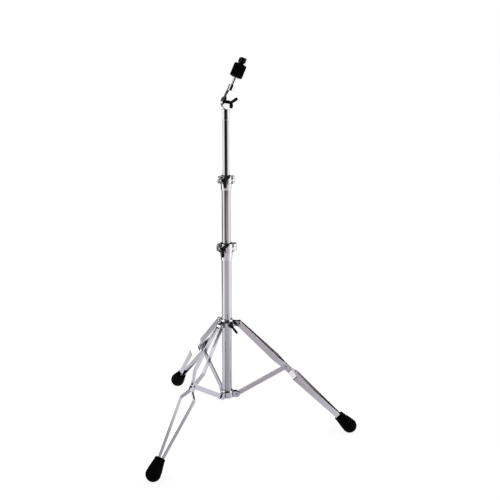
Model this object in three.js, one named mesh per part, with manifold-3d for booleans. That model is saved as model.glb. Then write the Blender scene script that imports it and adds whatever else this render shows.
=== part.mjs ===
// Straight cymbal stand, standing open on its tripod, in millimetres with +Z up and the floor at z = 0.
// Three tubes slide in one another. Two collars, three double-bar legs and three braces make the tripod.
// A toothed tilter on the top tube carries the cymbal rod with its two felts and wing nut.

import * as THREE from "three";
import { mergeVertices } from "three/addons/utils/BufferGeometryUtils.js";
import Module from "manifold-3d";

const wasm = await Module();
wasm.setup();

// Fits shared by all pieces
const gap = 0.3; // between two pieces that touch
const turningGap = 0.4; // between a pin and the hole it turns in
const overrun = 2; // how far a cut runs past the face that it opens
const weldDistance = 0.0003; // corners closer than this are one

// Facets: round a full turn, round a corner, up a domed head, along a bend
const tubeSides = 24;
const turnedSides = 20;
const pinSides = 12;
const cornerSteps = 4;
const domeSteps = 2;
const bendSteps = 2;
const footSteps = 5;

// Tubes
const baseTubeRadius = 14.3;
const middleTubeRadius = 12.7;
const upperTubeRadius = 9.525;
const baseTubeWall = 1.2;
const middleTubeWall = 1.2;
const upperTubeWall = 1.4;
const baseTubeLength = 442;
const middleTubeLength = 430;
const upperTubeLength = 400;
const middleTubeShown = 154; // between the lower clamp and the upper clamp
const upperTubeShown = 155; // between the upper clamp and the tilter

// Tripod: where it stands and how far it is open
const tripodTurn = THREE.MathUtils.degToRad(-3.5); // first leg, from +X
const legTilt = THREE.MathUtils.degToRad(45.7); // from the upright
const legPivotRadius = 36;
const bracePivotRadius = 29;
const bracePivotHeight = 117.4;

// Leg bars: places along the leg from its top pin, and half the space between the bars there
const legBarWidth = 16;
const legBarThickness = 3;
const topFlatEnd = 11;
const upperBendPlace = 147.5;
const upperBendHalfSpace = 14;
const jointFlatStart = 180;
const bracePlace = 190;
const jointFlatEnd = 206;
const lowerBendPlace = 229;
const lowerBendHalfSpace = 21.2;
const footFlatHalfSpace = 5;
const legEndRivetPlace = 430;
const legBarEnd = 440;
const bendEase = 5; // straight taken up by each bend, either side

// Leg pins and rivets
const topPinRadius = 3.2;
const topPinHeadRadius = 5.6;
const topPinHeadHeight = 2.6;
const jointRivetRadius = 2.6;
const jointRivetHeadRadius = 4.6;
const jointRivetHeadHeight = 2.2;
const endRivetRadius = 2.4;
const endRivetHeadRadius = 4.2;
const endRivetHeadHeight = 1.6;
const endSpacerRadius = 5;

// Braces
const braceWidth = 13;
const braceThickness = 6.4;
const braceWall = 1.4;

// Rubber feet: a cone that grows from the leg to a round end
const footBulbPlace = 454.8; // centre of the round end along the leg
const footBulbRadius = 21.5;
const footMouthPlace = 408;
const footMouthRadius = 13.6;
const footMouthRound = 4.5;
const footContactDepth = 1; // how deep the round end is flattened on the floor

// Brace collar
const braceCollarHeight = 26;
const braceCollarWall = 4.2;
const braceCollarChamfer = 1.5;
const braceEarThickness = 3;
const braceEarHeight = 18;
const bracePinRadius = 2.6;
const bracePinHeadRadius = 4.4;
const bracePinHeadHeight = 1.5;
const drivePinRadius = 2;
const drivePinLift = 6; // above the middle of the collar
const baseTubeRecess = 1; // tube end above the collar's lower face

// Leg collar
const legCollarHeight = 27;
const legCollarWall = 4.4;
const legCollarChamfer = 1.5;
const legCollarBoreSlip = 0.5;
const legLugThickness = 10;
const legLugHeight = 18;
const legLugEndRadius = 7.4;
const collarBossRadius = 7;
const collarBossReach = 25;

// Wing screws
const screwRadius = 3;
const wingHubRadius = 5.4;
const wingHubLength = 9;
const wingHubRound = 1.2;
const wingWidth = 6.4;
const wingThickness = 3.4;
const wingSlope = THREE.MathUtils.degToRad(40); // of the wings, from square to the screw

// Lower tube clamp
const lowerConeHeight = 24.6;
const lowerJawHeight = 24;
const lowerRingWall = 3.2;
const lowerHingeReach = 23;
const lowerKnuckleRadius = 9.6;
const lowerEarReach = 27;
const lowerEarThickness = 9;
const lowerScrewReach = 20.5;
const lowerScrewTurn = THREE.MathUtils.degToRad(-60); // where the screw points, from +X
const lowerWingSpan = 21;

// Upper tube clamp
const upperConeHeight = 18.4;
const upperJawHeight = 21.5;
const upperRingWall = 2.8;
const upperHingeReach = 20.5;
const upperKnuckleRadius = 9;
const upperEarReach = 24.5;
const upperEarThickness = 8;
const upperScrewReach = 18.5;
const upperScrewTurn = THREE.MathUtils.degToRad(-50);
const upperWingSpan = 18.5;

// Both tube clamps
const clampSeatDepth = 18; // how far the lower tube's end stands in the clamp
const clampMouthWall = 1.3; // of the cone where it meets the tube
const clampSplit = 0.8; // half the space between body and jaw
const clampEarRound = 6;
const hingePinRadius = 2.6;
const hingePinHeadRadius = 3.8;
const hingePinHeadHeight = 1.2;
const knuckleDrop = 4; // of the hinge below the top of the clamp
const jawOpening = THREE.MathUtils.degToRad(3.5); // that the jaw's bore leaves room for
const screwHoleSlack = 1.1; // lets the jaw swing with its screw in place
const bushWall = 1.9;
const bushLip = 1.2; // the part of the bush that stands out of the clamp

// Tilter
const tilterTurn = THREE.MathUtils.degToRad(-50); // where its bolt points, from +X
const tilterAngle = THREE.MathUtils.degToRad(29.6); // of the rod from the upright
const socketRadius = 11;
const socketHeight = 29;
const socketTubeDepth = 24;
const socketRound = 1.5;
const tilterPivotRise = 49; // above the socket's lower face
const baseDiscRadius = 14.5;
const armDiscRadius = 20;
const tilterDiscRound = 1.2;
const baseDiscBack = 5.5; // behind the middle of the tube
const baseDiscFront = 2;
const armDiscThickness = 8;
const tilterWebHalfWidth = 9.5;
const tilterWebTop = 6; // below the bolt
const armNeckRadius = 9.5;
const armNeckStart = 12;
const armNeckTop = 48.7;
const armNeckRound = 1.5;
const tilterBoltRadius = 3;
const tilterHubLength = 16;
const tilterHubRadius = 4.6;
const tilterWingSpan = 17;
const tilterNutRadius = 6;
const tilterNutThickness = 5;
const tilterNutSides = 6;

// Cymbal rod and what is on it, places along the rod from the tilter bolt
const rodRadius = 4;
const rodDepthInArm = 22;
const seatPlace = 73.7;
const seatThickness = 1.8;
const seatRadius = 11;
const sleeveRadius = 6.2;
const sleeveLength = 31;
const feltRadius = 16.6;
const feltThickness = 15.6;
const feltEdgeRound = 1.6;
const feltBoreSlack = 0.5;
const rodTopClear = 3; // rod end below the top of the wing nut
const nutNeckRadius = 5;
const nutNeckHeight = 3.5;
const nutBodyRadius = 6.6;
const nutHeight = 22;
const nutWingSpan = 11.5;
const nutWingHeight = 12;
const nutWingThickness = 3.4;
const nutWingRound = 3;

// Heights and places that follow from the sizes above
const legPivotHeight = footBulbRadius - footContactDepth + footBulbPlace * Math.cos(legTilt);
const jointRadius = legPivotRadius + bracePlace * Math.sin(legTilt);
const jointHeight = legPivotHeight - bracePlace * Math.cos(legTilt);
const braceLength = Math.hypot(jointRadius - bracePivotRadius, jointHeight - bracePivotHeight);
const braceRise = Math.atan2(jointHeight - bracePivotHeight, jointRadius - bracePivotRadius);
const baseTubeBottom = bracePivotHeight - braceCollarHeight / 2 + baseTubeRecess;
const lowerClampBottom = baseTubeBottom + baseTubeLength - clampSeatDepth;
const lowerClampTop = lowerClampBottom + lowerConeHeight + lowerJawHeight;
const upperClampBottom = lowerClampTop + middleTubeShown;
const upperClampTop = upperClampBottom + upperConeHeight + upperJawHeight;
const middleTubeBottom = upperClampBottom + clampSeatDepth - middleTubeLength;
const socketBottom = upperClampTop + upperTubeShown;
const upperTubeBottom = socketBottom + socketTubeDepth - upperTubeLength;
const tilterPivotHeight = socketBottom + tilterPivotRise;
const footFlatStart = footMouthPlace - bendEase - gap;
const legTopHalfSpace = legLugThickness / 2 + gap;
const jointHalfSpace = braceThickness / 2 + gap;
const braceCollarRadius = baseTubeRadius + gap + braceCollarWall;
const legCollarRadius = baseTubeRadius + legCollarBoreSlip + legCollarWall;

// Finishes
const chrome = () => new THREE.MeshStandardMaterial({ color: 0xd9dbe0, metalness: 1, roughness: 0.08 });
const blackMetal = () => new THREE.MeshStandardMaterial({ color: 0x15151a, metalness: 0.6, roughness: 0.3 });
const blackNylon = () => new THREE.MeshStandardMaterial({ color: 0x1b1b1e, metalness: 0, roughness: 0.5 });
const blackRubber = () => new THREE.MeshStandardMaterial({ color: 0x0d0d0e, metalness: 0, roughness: 0.7 });
const blackFelt = () => new THREE.MeshStandardMaterial({ color: 0x121214, metalness: 0, roughness: 1 });

const point = (x, y) => new THREE.Vector2(x, y);

// A closed three.js geometry as a solid that can be cut and joined.
function solidOf(geometry) {
  const bare = geometry.clone();
  bare.deleteAttribute("normal");
  bare.deleteAttribute("uv");
  const merged = mergeVertices(bare, weldDistance);
  const triVerts = new Uint32Array(merged.index.array);
  const vertProperties = merged.attributes.position.array;
  return new wasm.Manifold(new wasm.Mesh({ numProp: 3, vertProperties, triVerts }));
}

// A solid back as a three.js geometry.
function geometryOf(solid) {
  const mesh = solid.getMesh();
  const geometry = new THREE.BufferGeometry();
  geometry.setAttribute("position", new THREE.BufferAttribute(mesh.vertProperties, 3));
  geometry.setIndex(new THREE.BufferAttribute(mesh.triVerts, 1));
  geometry.computeVertexNormals();
  return geometry;
}

// A body turned about +Z from an outline of [radius, height] points, run upwards on its outer side.
function turned(outline, sides) {
  const geometry = new THREE.LatheGeometry(outline.map(([r, z]) => point(r, z)), sides);
  return geometry.rotateX(Math.PI / 2);
}

// A plain round bar about +Z between two heights.
function roundBar(radius, bottom, top, sides) {
  return turned([[0, bottom], [radius, bottom], [radius, top], [0, top]], sides);
}

// A tube about +Z between two heights.
function tube(radius, wall, bottom, top) {
  const inner = radius - wall;
  const outline = [[inner, bottom], [radius, bottom], [radius, top], [inner, top], [inner, bottom]];
  return turned(outline, tubeSides);
}

// A flat plate in the XZ plane, standing either side of y = middle.
function plateXZ(shape, thickness, middle) {
  const geometry = new THREE.ExtrudeGeometry(shape, {
    depth: thickness,
    bevelEnabled: false,
    curveSegments: cornerSteps,
  });
  return geometry.rotateX(Math.PI / 2).translate(0, middle + thickness / 2, 0);
}

// A box between two corners.
function block(x0, x1, y0, y1, z0, z1) {
  const geometry = new THREE.BoxGeometry(x1 - x0, y1 - y0, z1 - z0);
  return geometry.translate((x0 + x1) / 2, (y0 + y1) / 2, (z0 + z1) / 2);
}

// Turns a body that was made about +Z so that it lies along +X or +Y.
const alongX = (geometry) => geometry.rotateY(Math.PI / 2);
const alongY = (geometry) => geometry.rotateX(-Math.PI / 2);

// A strip with a round end at both its places, along +X in the XZ plane.
function roundEndedShape(from, to, radius) {
  const shape = new THREE.Shape();
  shape.absarc(to, 0, radius, -Math.PI / 2, Math.PI / 2, false);
  shape.absarc(from, 0, radius, Math.PI / 2, (3 * Math.PI) / 2, false);
  return shape;
}

function meshOf(name, geometry, material) {
  const mesh = new THREE.Mesh(geometry, material);
  mesh.name = name;
  return mesh;
}

// A pin along +Y with a domed head at each end, its shank running from one head to the other.
function headedPin(radius, headRadius, headHeight, from, to) {
  const outline = [];
  for (let i = 0; i <= domeSteps; i++) {
    const turn = (i / domeSteps) * (Math.PI / 2);
    outline.push([headRadius * Math.sin(turn), from - headHeight * Math.cos(turn)]);
  }
  outline.push([radius, from], [radius, to]);
  for (let i = domeSteps; i >= 0; i--) {
    const turn = (i / domeSteps) * (Math.PI / 2);
    outline.push([headRadius * Math.sin(turn), to + headHeight * Math.cos(turn)]);
  }
  return alongY(turned(outline, pinSides));
}

// A wing screw along +Z. Its hub stands on z = 0, its shank reaches down, its two wings slope up and out.
function wingScrew(hubRadius, hubLength, wingSpan, shankLength) {
  const hub = solidOf(
    turned(
      [
        [0, -shankLength],
        [screwRadius, -shankLength],
        [screwRadius, 0],
        [hubRadius, 0],
        [hubRadius, hubLength - wingHubRound],
        [hubRadius - wingHubRound, hubLength],
        [0, hubLength],
      ],
      pinSides,
    ),
  );
  const wingRoot = hubLength - wingWidth / 2;
  const wingLength = (wingSpan - wingWidth / 2) / Math.cos(wingSlope);
  let screw = hub;
  for (const side of [0, Math.PI]) {
    const wing = plateXZ(roundEndedShape(0, wingLength, wingWidth / 2), wingThickness, 0);
    wing.rotateY(-wingSlope).translate(0, 0, wingRoot).rotateZ(side);
    screw = screw.add(solidOf(wing));
  }
  return geometryOf(screw);
}

const stand = new THREE.Group();
const tripod = new THREE.Group();
tripod.rotation.z = tripodTurn;
stand.add(tripod);

// Tubes
const baseTubeTop = baseTubeBottom + baseTubeLength;
const baseTubeBody = solidOf(tube(baseTubeRadius, baseTubeWall, baseTubeBottom, baseTubeTop));
const middleTubeTop = middleTubeBottom + middleTubeLength;
const upperTubeTop = upperTubeBottom + upperTubeLength;
const middleTube = tube(middleTubeRadius, middleTubeWall, middleTubeBottom, middleTubeTop);
const upperTube = tube(upperTubeRadius, upperTubeWall, upperTubeBottom, upperTubeTop);
stand.add(meshOf("middle_tube", middleTube, chrome()));
stand.add(meshOf("upper_tube", upperTube, chrome()));

// Brace collar: a ring with three forks, held to the base tube by a drive pin between two of them
const betweenLegs = THREE.MathUtils.degToRad(-60);
const legTurns = [0, 2, 1].map((third) => (third * 2 * Math.PI) / 3);
const legNames = ["right", "front", "rear"];
const forkHalfSpace = braceThickness / 2 + turningGap;
const forkHalfWidth = forkHalfSpace + braceEarThickness;

function collarRing(bore, radius, height, chamfer) {
  const half = height / 2;
  return turned(
    [
      [bore, -half],
      [radius - chamfer, -half],
      [radius, -half + chamfer],
      [radius, half - chamfer],
      [radius - chamfer, half],
      [bore, half],
      [bore, -half],
    ],
    tubeSides,
  );
}

// The side outline of a lug: it leaves the collar inside its wall and ends round about its pivot.
function lugShape(start, pivot, height, endRadius) {
  const shape = new THREE.Shape();
  shape.moveTo(start, -height / 2);
  shape.absarc(pivot, 0, endRadius, -Math.PI / 2, Math.PI / 2, false);
  shape.lineTo(start, height / 2);
  return shape;
}

const braceCollarBore = baseTubeRadius + gap;
const drivePinFrom = baseTubeRadius - baseTubeWall;
const drivePinHole = (radius) =>
  solidOf(
    alongX(roundBar(radius, drivePinFrom - overrun, braceCollarRadius + overrun, pinSides))
      .translate(0, 0, drivePinLift)
      .rotateZ(betweenLegs),
  );
let braceCollar = solidOf(
  collarRing(braceCollarBore, braceCollarRadius, braceCollarHeight, braceCollarChamfer),
);
for (const turn of legTurns) {
  const ear = lugShape(baseTubeRadius, bracePivotRadius, braceEarHeight, braceEarHeight / 2);
  const fork = solidOf(plateXZ(ear, 2 * forkHalfWidth, 0).rotateZ(turn));
  const slot = solidOf(
    block(
      braceCollarRadius,
      bracePivotRadius + braceEarHeight,
      -forkHalfSpace,
      forkHalfSpace,
      -braceCollarHeight,
      braceCollarHeight,
    ).rotateZ(turn),
  );
  const hole = solidOf(
    alongY(roundBar(bracePinRadius + gap, -forkHalfWidth - overrun, forkHalfWidth + overrun, pinSides))
      .translate(bracePivotRadius, 0, 0)
      .rotateZ(turn),
  );
  braceCollar = braceCollar.add(fork).subtract(slot).subtract(hole);
}
const collarBoreCut = roundBar(braceCollarBore, -braceCollarHeight, braceCollarHeight, tubeSides);
braceCollar = braceCollar.subtract(solidOf(collarBoreCut)).subtract(drivePinHole(drivePinRadius + gap));
const braceCollarMesh = meshOf("brace_collar", geometryOf(braceCollar), chrome());
braceCollarMesh.position.z = bracePivotHeight;
tripod.add(braceCollarMesh);

const drivePin = alongX(roundBar(drivePinRadius, drivePinFrom, braceCollarRadius, pinSides));
const drivePinMesh = meshOf("collar_drive_pin", drivePin.rotateZ(betweenLegs), chrome());
drivePinMesh.position.z = bracePivotHeight + drivePinLift;
tripod.add(drivePinMesh);

const drivePinCut = geometryOf(drivePinHole(drivePinRadius + gap)).translate(0, 0, bracePivotHeight);
const baseTube = baseTubeBody.subtract(solidOf(drivePinCut.rotateZ(tripodTurn)));
stand.add(meshOf("base_tube", geometryOf(baseTube), chrome()));

// Leg collar: it slides on the base tube, carries the legs on three lugs, and its wing screw holds it
const legCollarBore = baseTubeRadius + legCollarBoreSlip;
let legCollar = solidOf(collarRing(legCollarBore, legCollarRadius, legCollarHeight, legCollarChamfer));
for (const turn of legTurns) {
  const lug = lugShape(baseTubeRadius, legPivotRadius, legLugHeight, legLugEndRadius);
  const hole = alongY(roundBar(topPinRadius + turningGap, -legLugThickness, legLugThickness, pinSides));
  legCollar = legCollar
    .add(solidOf(plateXZ(lug, legLugThickness, 0).rotateZ(turn)))
    .subtract(solidOf(hole.translate(legPivotRadius, 0, 0).rotateZ(turn)));
}
const boss = alongX(roundBar(collarBossRadius, baseTubeRadius, collarBossReach, turnedSides));
const bossHole = alongX(roundBar(screwRadius + turningGap, 0, collarBossReach + overrun, pinSides));
legCollar = legCollar
  .add(solidOf(boss.rotateZ(betweenLegs)))
  .subtract(solidOf(roundBar(legCollarBore, -legCollarHeight, legCollarHeight, tubeSides)))
  .subtract(solidOf(bossHole.rotateZ(betweenLegs)));
const legCollarMesh = meshOf("leg_collar", geometryOf(legCollar), chrome());
legCollarMesh.position.z = legPivotHeight;
tripod.add(legCollarMesh);

const collarWingTurn = THREE.MathUtils.degToRad(28); // of the wings from upright
const collarScrewLength = collarBossReach + gap - baseTubeRadius - gap;
const collarScrew = wingScrew(wingHubRadius, wingHubLength, lowerWingSpan, collarScrewLength);
collarScrew.rotateZ(collarWingTurn);
const collarScrewMesh = meshOf("leg_collar_wing_screw", collarScrew, blackMetal());
const collarScrewPlace = new THREE.Group();
collarScrewPlace.rotation.z = betweenLegs;
collarScrewPlace.position.z = legPivotHeight;
collarScrewMesh.rotation.y = Math.PI / 2;
collarScrewMesh.position.x = collarBossReach + gap;
collarScrewPlace.add(collarScrewMesh);
tripod.add(collarScrewPlace);

// One leg bar as seen on its edge: half spaces between the bars at places along the leg, in order
const barLine = [
  [-legBarWidth / 2, legTopHalfSpace],
  [topFlatEnd, legTopHalfSpace],
  [upperBendPlace, upperBendHalfSpace],
  [jointFlatStart, jointHalfSpace],
  [jointFlatEnd, jointHalfSpace],
  [lowerBendPlace, lowerBendHalfSpace],
  [footFlatStart, footFlatHalfSpace],
  [legBarEnd, footFlatHalfSpace],
];

// The middle line of a strip with each corner eased by a short curve.
function easedLine(corners, ease) {
  const line = [corners[0]];
  for (let i = 1; i < corners.length - 1; i++) {
    const before = corners[i].clone().sub(corners[i - 1]).normalize();
    const after = corners[i + 1].clone().sub(corners[i]).normalize();
    const start = corners[i].clone().addScaledVector(before, -ease);
    const end = corners[i].clone().addScaledVector(after, ease);
    const curve = new THREE.QuadraticBezierCurve(start, corners[i], end);
    line.push(...curve.getPoints(bendSteps));
  }
  line.push(corners[corners.length - 1]);
  return line;
}

// The closed outline of a strip of even thickness about a line.
function stripShape(line, thickness) {
  const sides = [[], []];
  line.forEach((place, i) => {
    const before = line[Math.max(i - 1, 0)];
    const after = line[Math.min(i + 1, line.length - 1)];
    const along = after.clone().sub(before).normalize();
    const across = point(-along.y, along.x).multiplyScalar(thickness / 2);
    sides[0].push(place.clone().sub(across));
    sides[1].unshift(place.clone().add(across));
  });
  return new THREE.Shape([...sides[0], ...sides[1]]);
}

// A leg bar with its faces towards the other bar, lying along +X, on the +Y side of the leg.
function legBar() {
  const middle = barLine.map(([place, space]) => point(place, space + legBarThickness / 2));
  const strip = new THREE.ExtrudeGeometry(stripShape(easedLine(middle, bendEase), legBarThickness), {
    depth: legBarWidth,
    bevelEnabled: false,
  });
  strip.translate(0, 0, -legBarWidth / 2);
  const deepest = lowerBendHalfSpace + upperBendHalfSpace + legBarThickness;
  const sideShape = roundEndedShape(0, legBarEnd - legBarWidth / 2, legBarWidth / 2);
  let bar = solidOf(strip).intersect(solidOf(plateXZ(sideShape, 2 * deepest, 0)));
  const holes = [
    [0, topPinRadius],
    [bracePlace, jointRivetRadius],
    [legEndRivetPlace, endRivetRadius],
  ];
  for (const [place, radius] of holes) {
    const hole = alongY(roundBar(radius + gap, 0, deepest, pinSides)).translate(place, 0, 0);
    bar = bar.subtract(solidOf(hole));
  }
  return geometryOf(bar);
}

// The rivet that holds both bars at the foot end, with a spacer between them.
function legEndRivet() {
  const inner = footFlatHalfSpace - gap;
  const outer = footFlatHalfSpace + legBarThickness + gap;
  return alongY(
    turned(
      [
        [0, -outer - endRivetHeadHeight],
        [endRivetHeadRadius, -outer - endRivetHeadHeight],
        [endRivetHeadRadius, -outer],
        [endRivetRadius, -outer],
        [endRivetRadius, -inner],
        [endSpacerRadius, -inner],
        [endSpacerRadius, inner],
        [endRivetRadius, inner],
        [endRivetRadius, outer],
        [endRivetHeadRadius, outer],
        [endRivetHeadRadius, outer + endRivetHeadHeight],
        [0, outer + endRivetHeadHeight],
      ],
      pinSides,
    ),
  );
}

// A rivet head on the outer face of the +Y bar, its shank ending inside the bar.
function jointRivet() {
  const inner = jointHalfSpace + gap;
  const outer = jointHalfSpace + legBarThickness + gap;
  const height = jointRivetHeadHeight;
  return alongY(
    turned(
      [
        [0, inner],
        [jointRivetRadius, inner],
        [jointRivetRadius, outer],
        [jointRivetHeadRadius, outer],
        [jointRivetHeadRadius, outer + height / 3],
        [jointRivetHeadRadius * Math.cos(Math.PI / 6), outer + (2 * height) / 3],
        [jointRivetHeadRadius / 2, outer + height],
        [0, outer + height],
      ],
      pinSides,
    ),
  );
}

// A rubber foot, in the upright plane of its leg: +X away from the stand, the floor at z = 0.
function rubberFoot() {
  const outline = [
    [0, footMouthPlace],
    [footMouthRadius - footMouthRound, footMouthPlace],
    [footMouthRadius, footMouthPlace + footMouthRound],
  ];
  for (let i = 0; i <= footSteps; i++) {
    const turn = (i / footSteps) * (Math.PI / 2);
    outline.push([footBulbRadius * Math.cos(turn), footBulbPlace + footBulbRadius * Math.sin(turn)]);
  }
  const leanOver = Math.PI - legTilt;
  const place = (geometry) => geometry.rotateY(leanOver).translate(legPivotRadius, 0, legPivotHeight);
  const pocketHalfWidth = legBarWidth / 2 + gap;
  const pocketHalfDepth = footFlatHalfSpace + legBarThickness + gap;
  const rivetHalfLength = pocketHalfDepth + endRivetHeadHeight + gap;
  const pocket = block(
    -pocketHalfWidth,
    pocketHalfWidth,
    -pocketHalfDepth,
    pocketHalfDepth,
    footMouthPlace - overrun,
    legBarEnd + gap,
  );
  const rivetPocket = alongY(
    roundBar(endRivetHeadRadius + gap, -rivetHalfLength, rivetHalfLength, pinSides),
  ).translate(0, 0, legEndRivetPlace);
  const reach = legPivotRadius + legPivotHeight + footBulbPlace;
  const underFloor = block(0, reach, -footBulbRadius, footBulbRadius, -footBulbRadius, 0);
  const foot = solidOf(place(turned(outline, turnedSides)))
    .subtract(solidOf(place(pocket)))
    .subtract(solidOf(place(rivetPocket)))
    .subtract(solidOf(underFloor));
  return geometryOf(foot);
}

// A brace: a strip folded to a channel that is open below, along +X from its collar pin to the leg.
function brace() {
  const outer = solidOf(plateXZ(roundEndedShape(0, braceLength, braceWidth / 2), braceThickness, 0));
  const hollow = block(
    -braceWidth,
    braceLength + braceWidth,
    -braceThickness / 2 + braceWall,
    braceThickness / 2 - braceWall,
    -braceWidth,
    braceWidth / 2 - braceWall,
  );
  let channel = outer.subtract(solidOf(hollow));
  for (const place of [0, braceLength]) {
    const hole = alongY(roundBar(bracePinRadius + turningGap, -braceThickness, braceThickness, pinSides));
    channel = channel.subtract(solidOf(hole.translate(place, 0, 0)));
  }
  return geometryOf(channel);
}

// The three legs, each with its brace, pins and foot
legTurns.forEach((turn, i) => {
  const name = legNames[i];
  const leg = new THREE.Group();
  leg.rotation.z = turn;
  tripod.add(leg);

  const bars = new THREE.Group();
  bars.position.set(legPivotRadius, 0, legPivotHeight);
  bars.rotation.y = Math.PI / 2 - legTilt;
  leg.add(bars);
  for (const [side, turnOver] of [["left", 0], ["right", Math.PI]]) {
    const bar = meshOf(`${name}_leg_bar_${side}`, legBar(), chrome());
    bar.rotation.x = turnOver;
    bars.add(bar);
    const rivetBody = jointRivet().translate(bracePlace, 0, 0);
    const rivet = meshOf(`${name}_leg_joint_rivet_${side}`, rivetBody, chrome());
    rivet.rotation.x = turnOver;
    bars.add(rivet);
  }
  const pinReach = legTopHalfSpace + legBarThickness + gap;
  const topPin = headedPin(topPinRadius, topPinHeadRadius, topPinHeadHeight, -pinReach, pinReach);
  bars.add(meshOf(`${name}_leg_top_pin`, topPin, chrome()));
  bars.add(meshOf(`${name}_leg_end_rivet`, legEndRivet().translate(legEndRivetPlace, 0, 0), chrome()));
  leg.add(meshOf(`${name}_foot`, rubberFoot(), blackRubber()));

  const braceMesh = meshOf(`${name}_brace`, brace(), chrome());
  braceMesh.position.set(bracePivotRadius, 0, bracePivotHeight);
  braceMesh.rotation.y = -braceRise;
  leg.add(braceMesh);
  const innerReach = forkHalfWidth + gap;
  const headHeight = bracePinHeadHeight;
  const innerPin = headedPin(bracePinRadius, bracePinHeadRadius, headHeight, -innerReach, innerReach);
  const innerPinMesh = meshOf(`${name}_brace_pin`, innerPin, chrome());
  innerPinMesh.position.set(bracePivotRadius, 0, bracePivotHeight);
  leg.add(innerPinMesh);
});

// A tube clamp with its hinge towards +X, its screw pointing along -Y and its lower face on z = 0.
// The body is a cone round the lower tube and the back half of a ring; the jaw is the front half.
function tubeClamp(clamp) {
  const { coneHeight, jawHeight, ringWall, hingeReach, knuckleRadius, earReach, earThickness } = clamp;
  const top = coneHeight + jawHeight;
  const seatBore = clamp.lowerRadius + gap;
  const bushRadius = clamp.innerRadius + gap + bushWall;
  const bushBore = bushRadius + gap;
  const ringRadius = Math.max(seatBore, bushBore) + ringWall;
  const wide = hingeReach + knuckleRadius + earReach;
  const shoulder = clampSeatDepth + gap;
  const thirds = [0, 1, 2, 3].map((third) => coneHeight - knuckleDrop + (third * jawHeight) / 3);
  const middleHeight = coneHeight + jawHeight / 2;

  const shell = solidOf(
    turned(
      [
        [seatBore, 0],
        [seatBore + clampMouthWall, 0],
        [ringRadius, coneHeight],
        [ringRadius, top],
        [bushBore, top],
        [bushBore, shoulder],
        [seatBore, shoulder],
        [seatBore, 0],
      ],
      tubeSides,
    ),
  );
  const bore = solidOf(roundBar(bushBore, shoulder, top + overrun, tubeSides));
  const seat = solidOf(roundBar(seatBore, -overrun, shoulder, tubeSides));
  const frontHalf = solidOf(block(-wide, wide, -wide, clampSplit, coneHeight, top + overrun));
  const backHalf = solidOf(block(-wide, wide, -clampSplit, wide, 0, top + overrun));
  const belowJaw = solidOf(block(-wide, wide, -wide, wide, -overrun, coneHeight + gap));

  // The ear that the screw passes, a plate with its two outer corners rounded
  const ear = (from, to) => {
    const shape = new THREE.Shape();
    const low = coneHeight + (from < 0 ? gap : 0);
    const corner = clampEarRound - earReach;
    shape.moveTo(-clamp.innerRadius, low);
    shape.lineTo(-clamp.innerRadius, top);
    shape.absarc(corner, top - clampEarRound, clampEarRound, Math.PI / 2, Math.PI, false);
    shape.absarc(corner, low + clampEarRound, clampEarRound, Math.PI, 1.5 * Math.PI, false);
    return solidOf(plateXZ(shape, to - from, (from + to) / 2));
  };
  const knuckle = (radius, low, high) =>
    solidOf(roundBar(radius, low, high, turnedSides).translate(hingeReach, 0, 0));
  const screwHole = solidOf(
    alongY(roundBar(screwRadius + screwHoleSlack, -wide, wide, pinSides)).translate(
      -clamp.screwReach,
      0,
      middleHeight,
    ),
  );
  const hubSeat = solidOf(
    alongY(roundBar(wingHubRadius + 2 * gap, -wide, -earThickness, turnedSides)).translate(
      -clamp.screwReach,
      0,
      middleHeight,
    ),
  );
  const openedBore = solidOf(
    roundBar(bushBore, 0, top + overrun, tubeSides)
      .translate(-hingeReach, 0, 0)
      .rotateZ(-jawOpening)
      .translate(hingeReach, 0, 0),
  );
  const pinHole = knuckle(hingePinRadius + gap, 0, top + overrun);
  const clearRadius = knuckleRadius + turningGap;

  const body = shell
    .subtract(frontHalf)
    .add(ear(clampSplit, earThickness))
    .add(knuckle(knuckleRadius, thirds[0], thirds[1]))
    .add(knuckle(knuckleRadius, thirds[2], thirds[3]))
    .subtract(bore)
    .subtract(seat)
    .subtract(knuckle(clearRadius, thirds[1], thirds[2]))
    .subtract(pinHole)
    .subtract(screwHole);
  const jaw = shell
    .subtract(backHalf)
    .subtract(belowJaw)
    .add(ear(-earThickness, -clampSplit))
    .subtract(knuckle(clearRadius, thirds[0] - overrun, thirds[1] + gap))
    .subtract(knuckle(clearRadius, thirds[2] - gap, top + overrun))
    .add(knuckle(knuckleRadius, thirds[1] + gap, thirds[2] - gap))
    .subtract(bore)
    .subtract(openedBore)
    .subtract(pinHole)
    .subtract(screwHole)
    .subtract(hubSeat);
  const pin = turned(
    [
      [0, thirds[0]],
      [hingePinRadius, thirds[0]],
      [hingePinRadius, thirds[3] + gap],
      [hingePinHeadRadius, thirds[3] + gap],
      [hingePinHeadRadius, thirds[3] + gap + hingePinHeadHeight],
      [0, thirds[3] + gap + hingePinHeadHeight],
    ],
    pinSides,
  ).translate(hingeReach, 0, 0);
  const bush = tube(bushRadius, bushWall, shoulder + gap, top + bushLip);
  const screw = wingScrew(wingHubRadius, wingHubLength, clamp.wingSpan, 2 * earThickness + gap);
  screw.rotateZ(clamp.wingTurn).rotateX(Math.PI / 2);
  screw.translate(-clamp.screwReach, -earThickness - gap, middleHeight);

  const group = new THREE.Group();
  group.position.z = clamp.bottom;
  group.rotation.z = clamp.screwTurn + Math.PI / 2;
  group.add(meshOf(`${clamp.name}_clamp_body`, geometryOf(body), chrome()));
  group.add(meshOf(`${clamp.name}_clamp_jaw`, geometryOf(jaw), chrome()));
  group.add(meshOf(`${clamp.name}_clamp_hinge_pin`, pin, chrome()));
  group.add(meshOf(`${clamp.name}_clamp_bush`, bush, blackNylon()));
  group.add(meshOf(`${clamp.name}_clamp_wing_screw`, screw, blackMetal()));
  return group;
}

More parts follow.
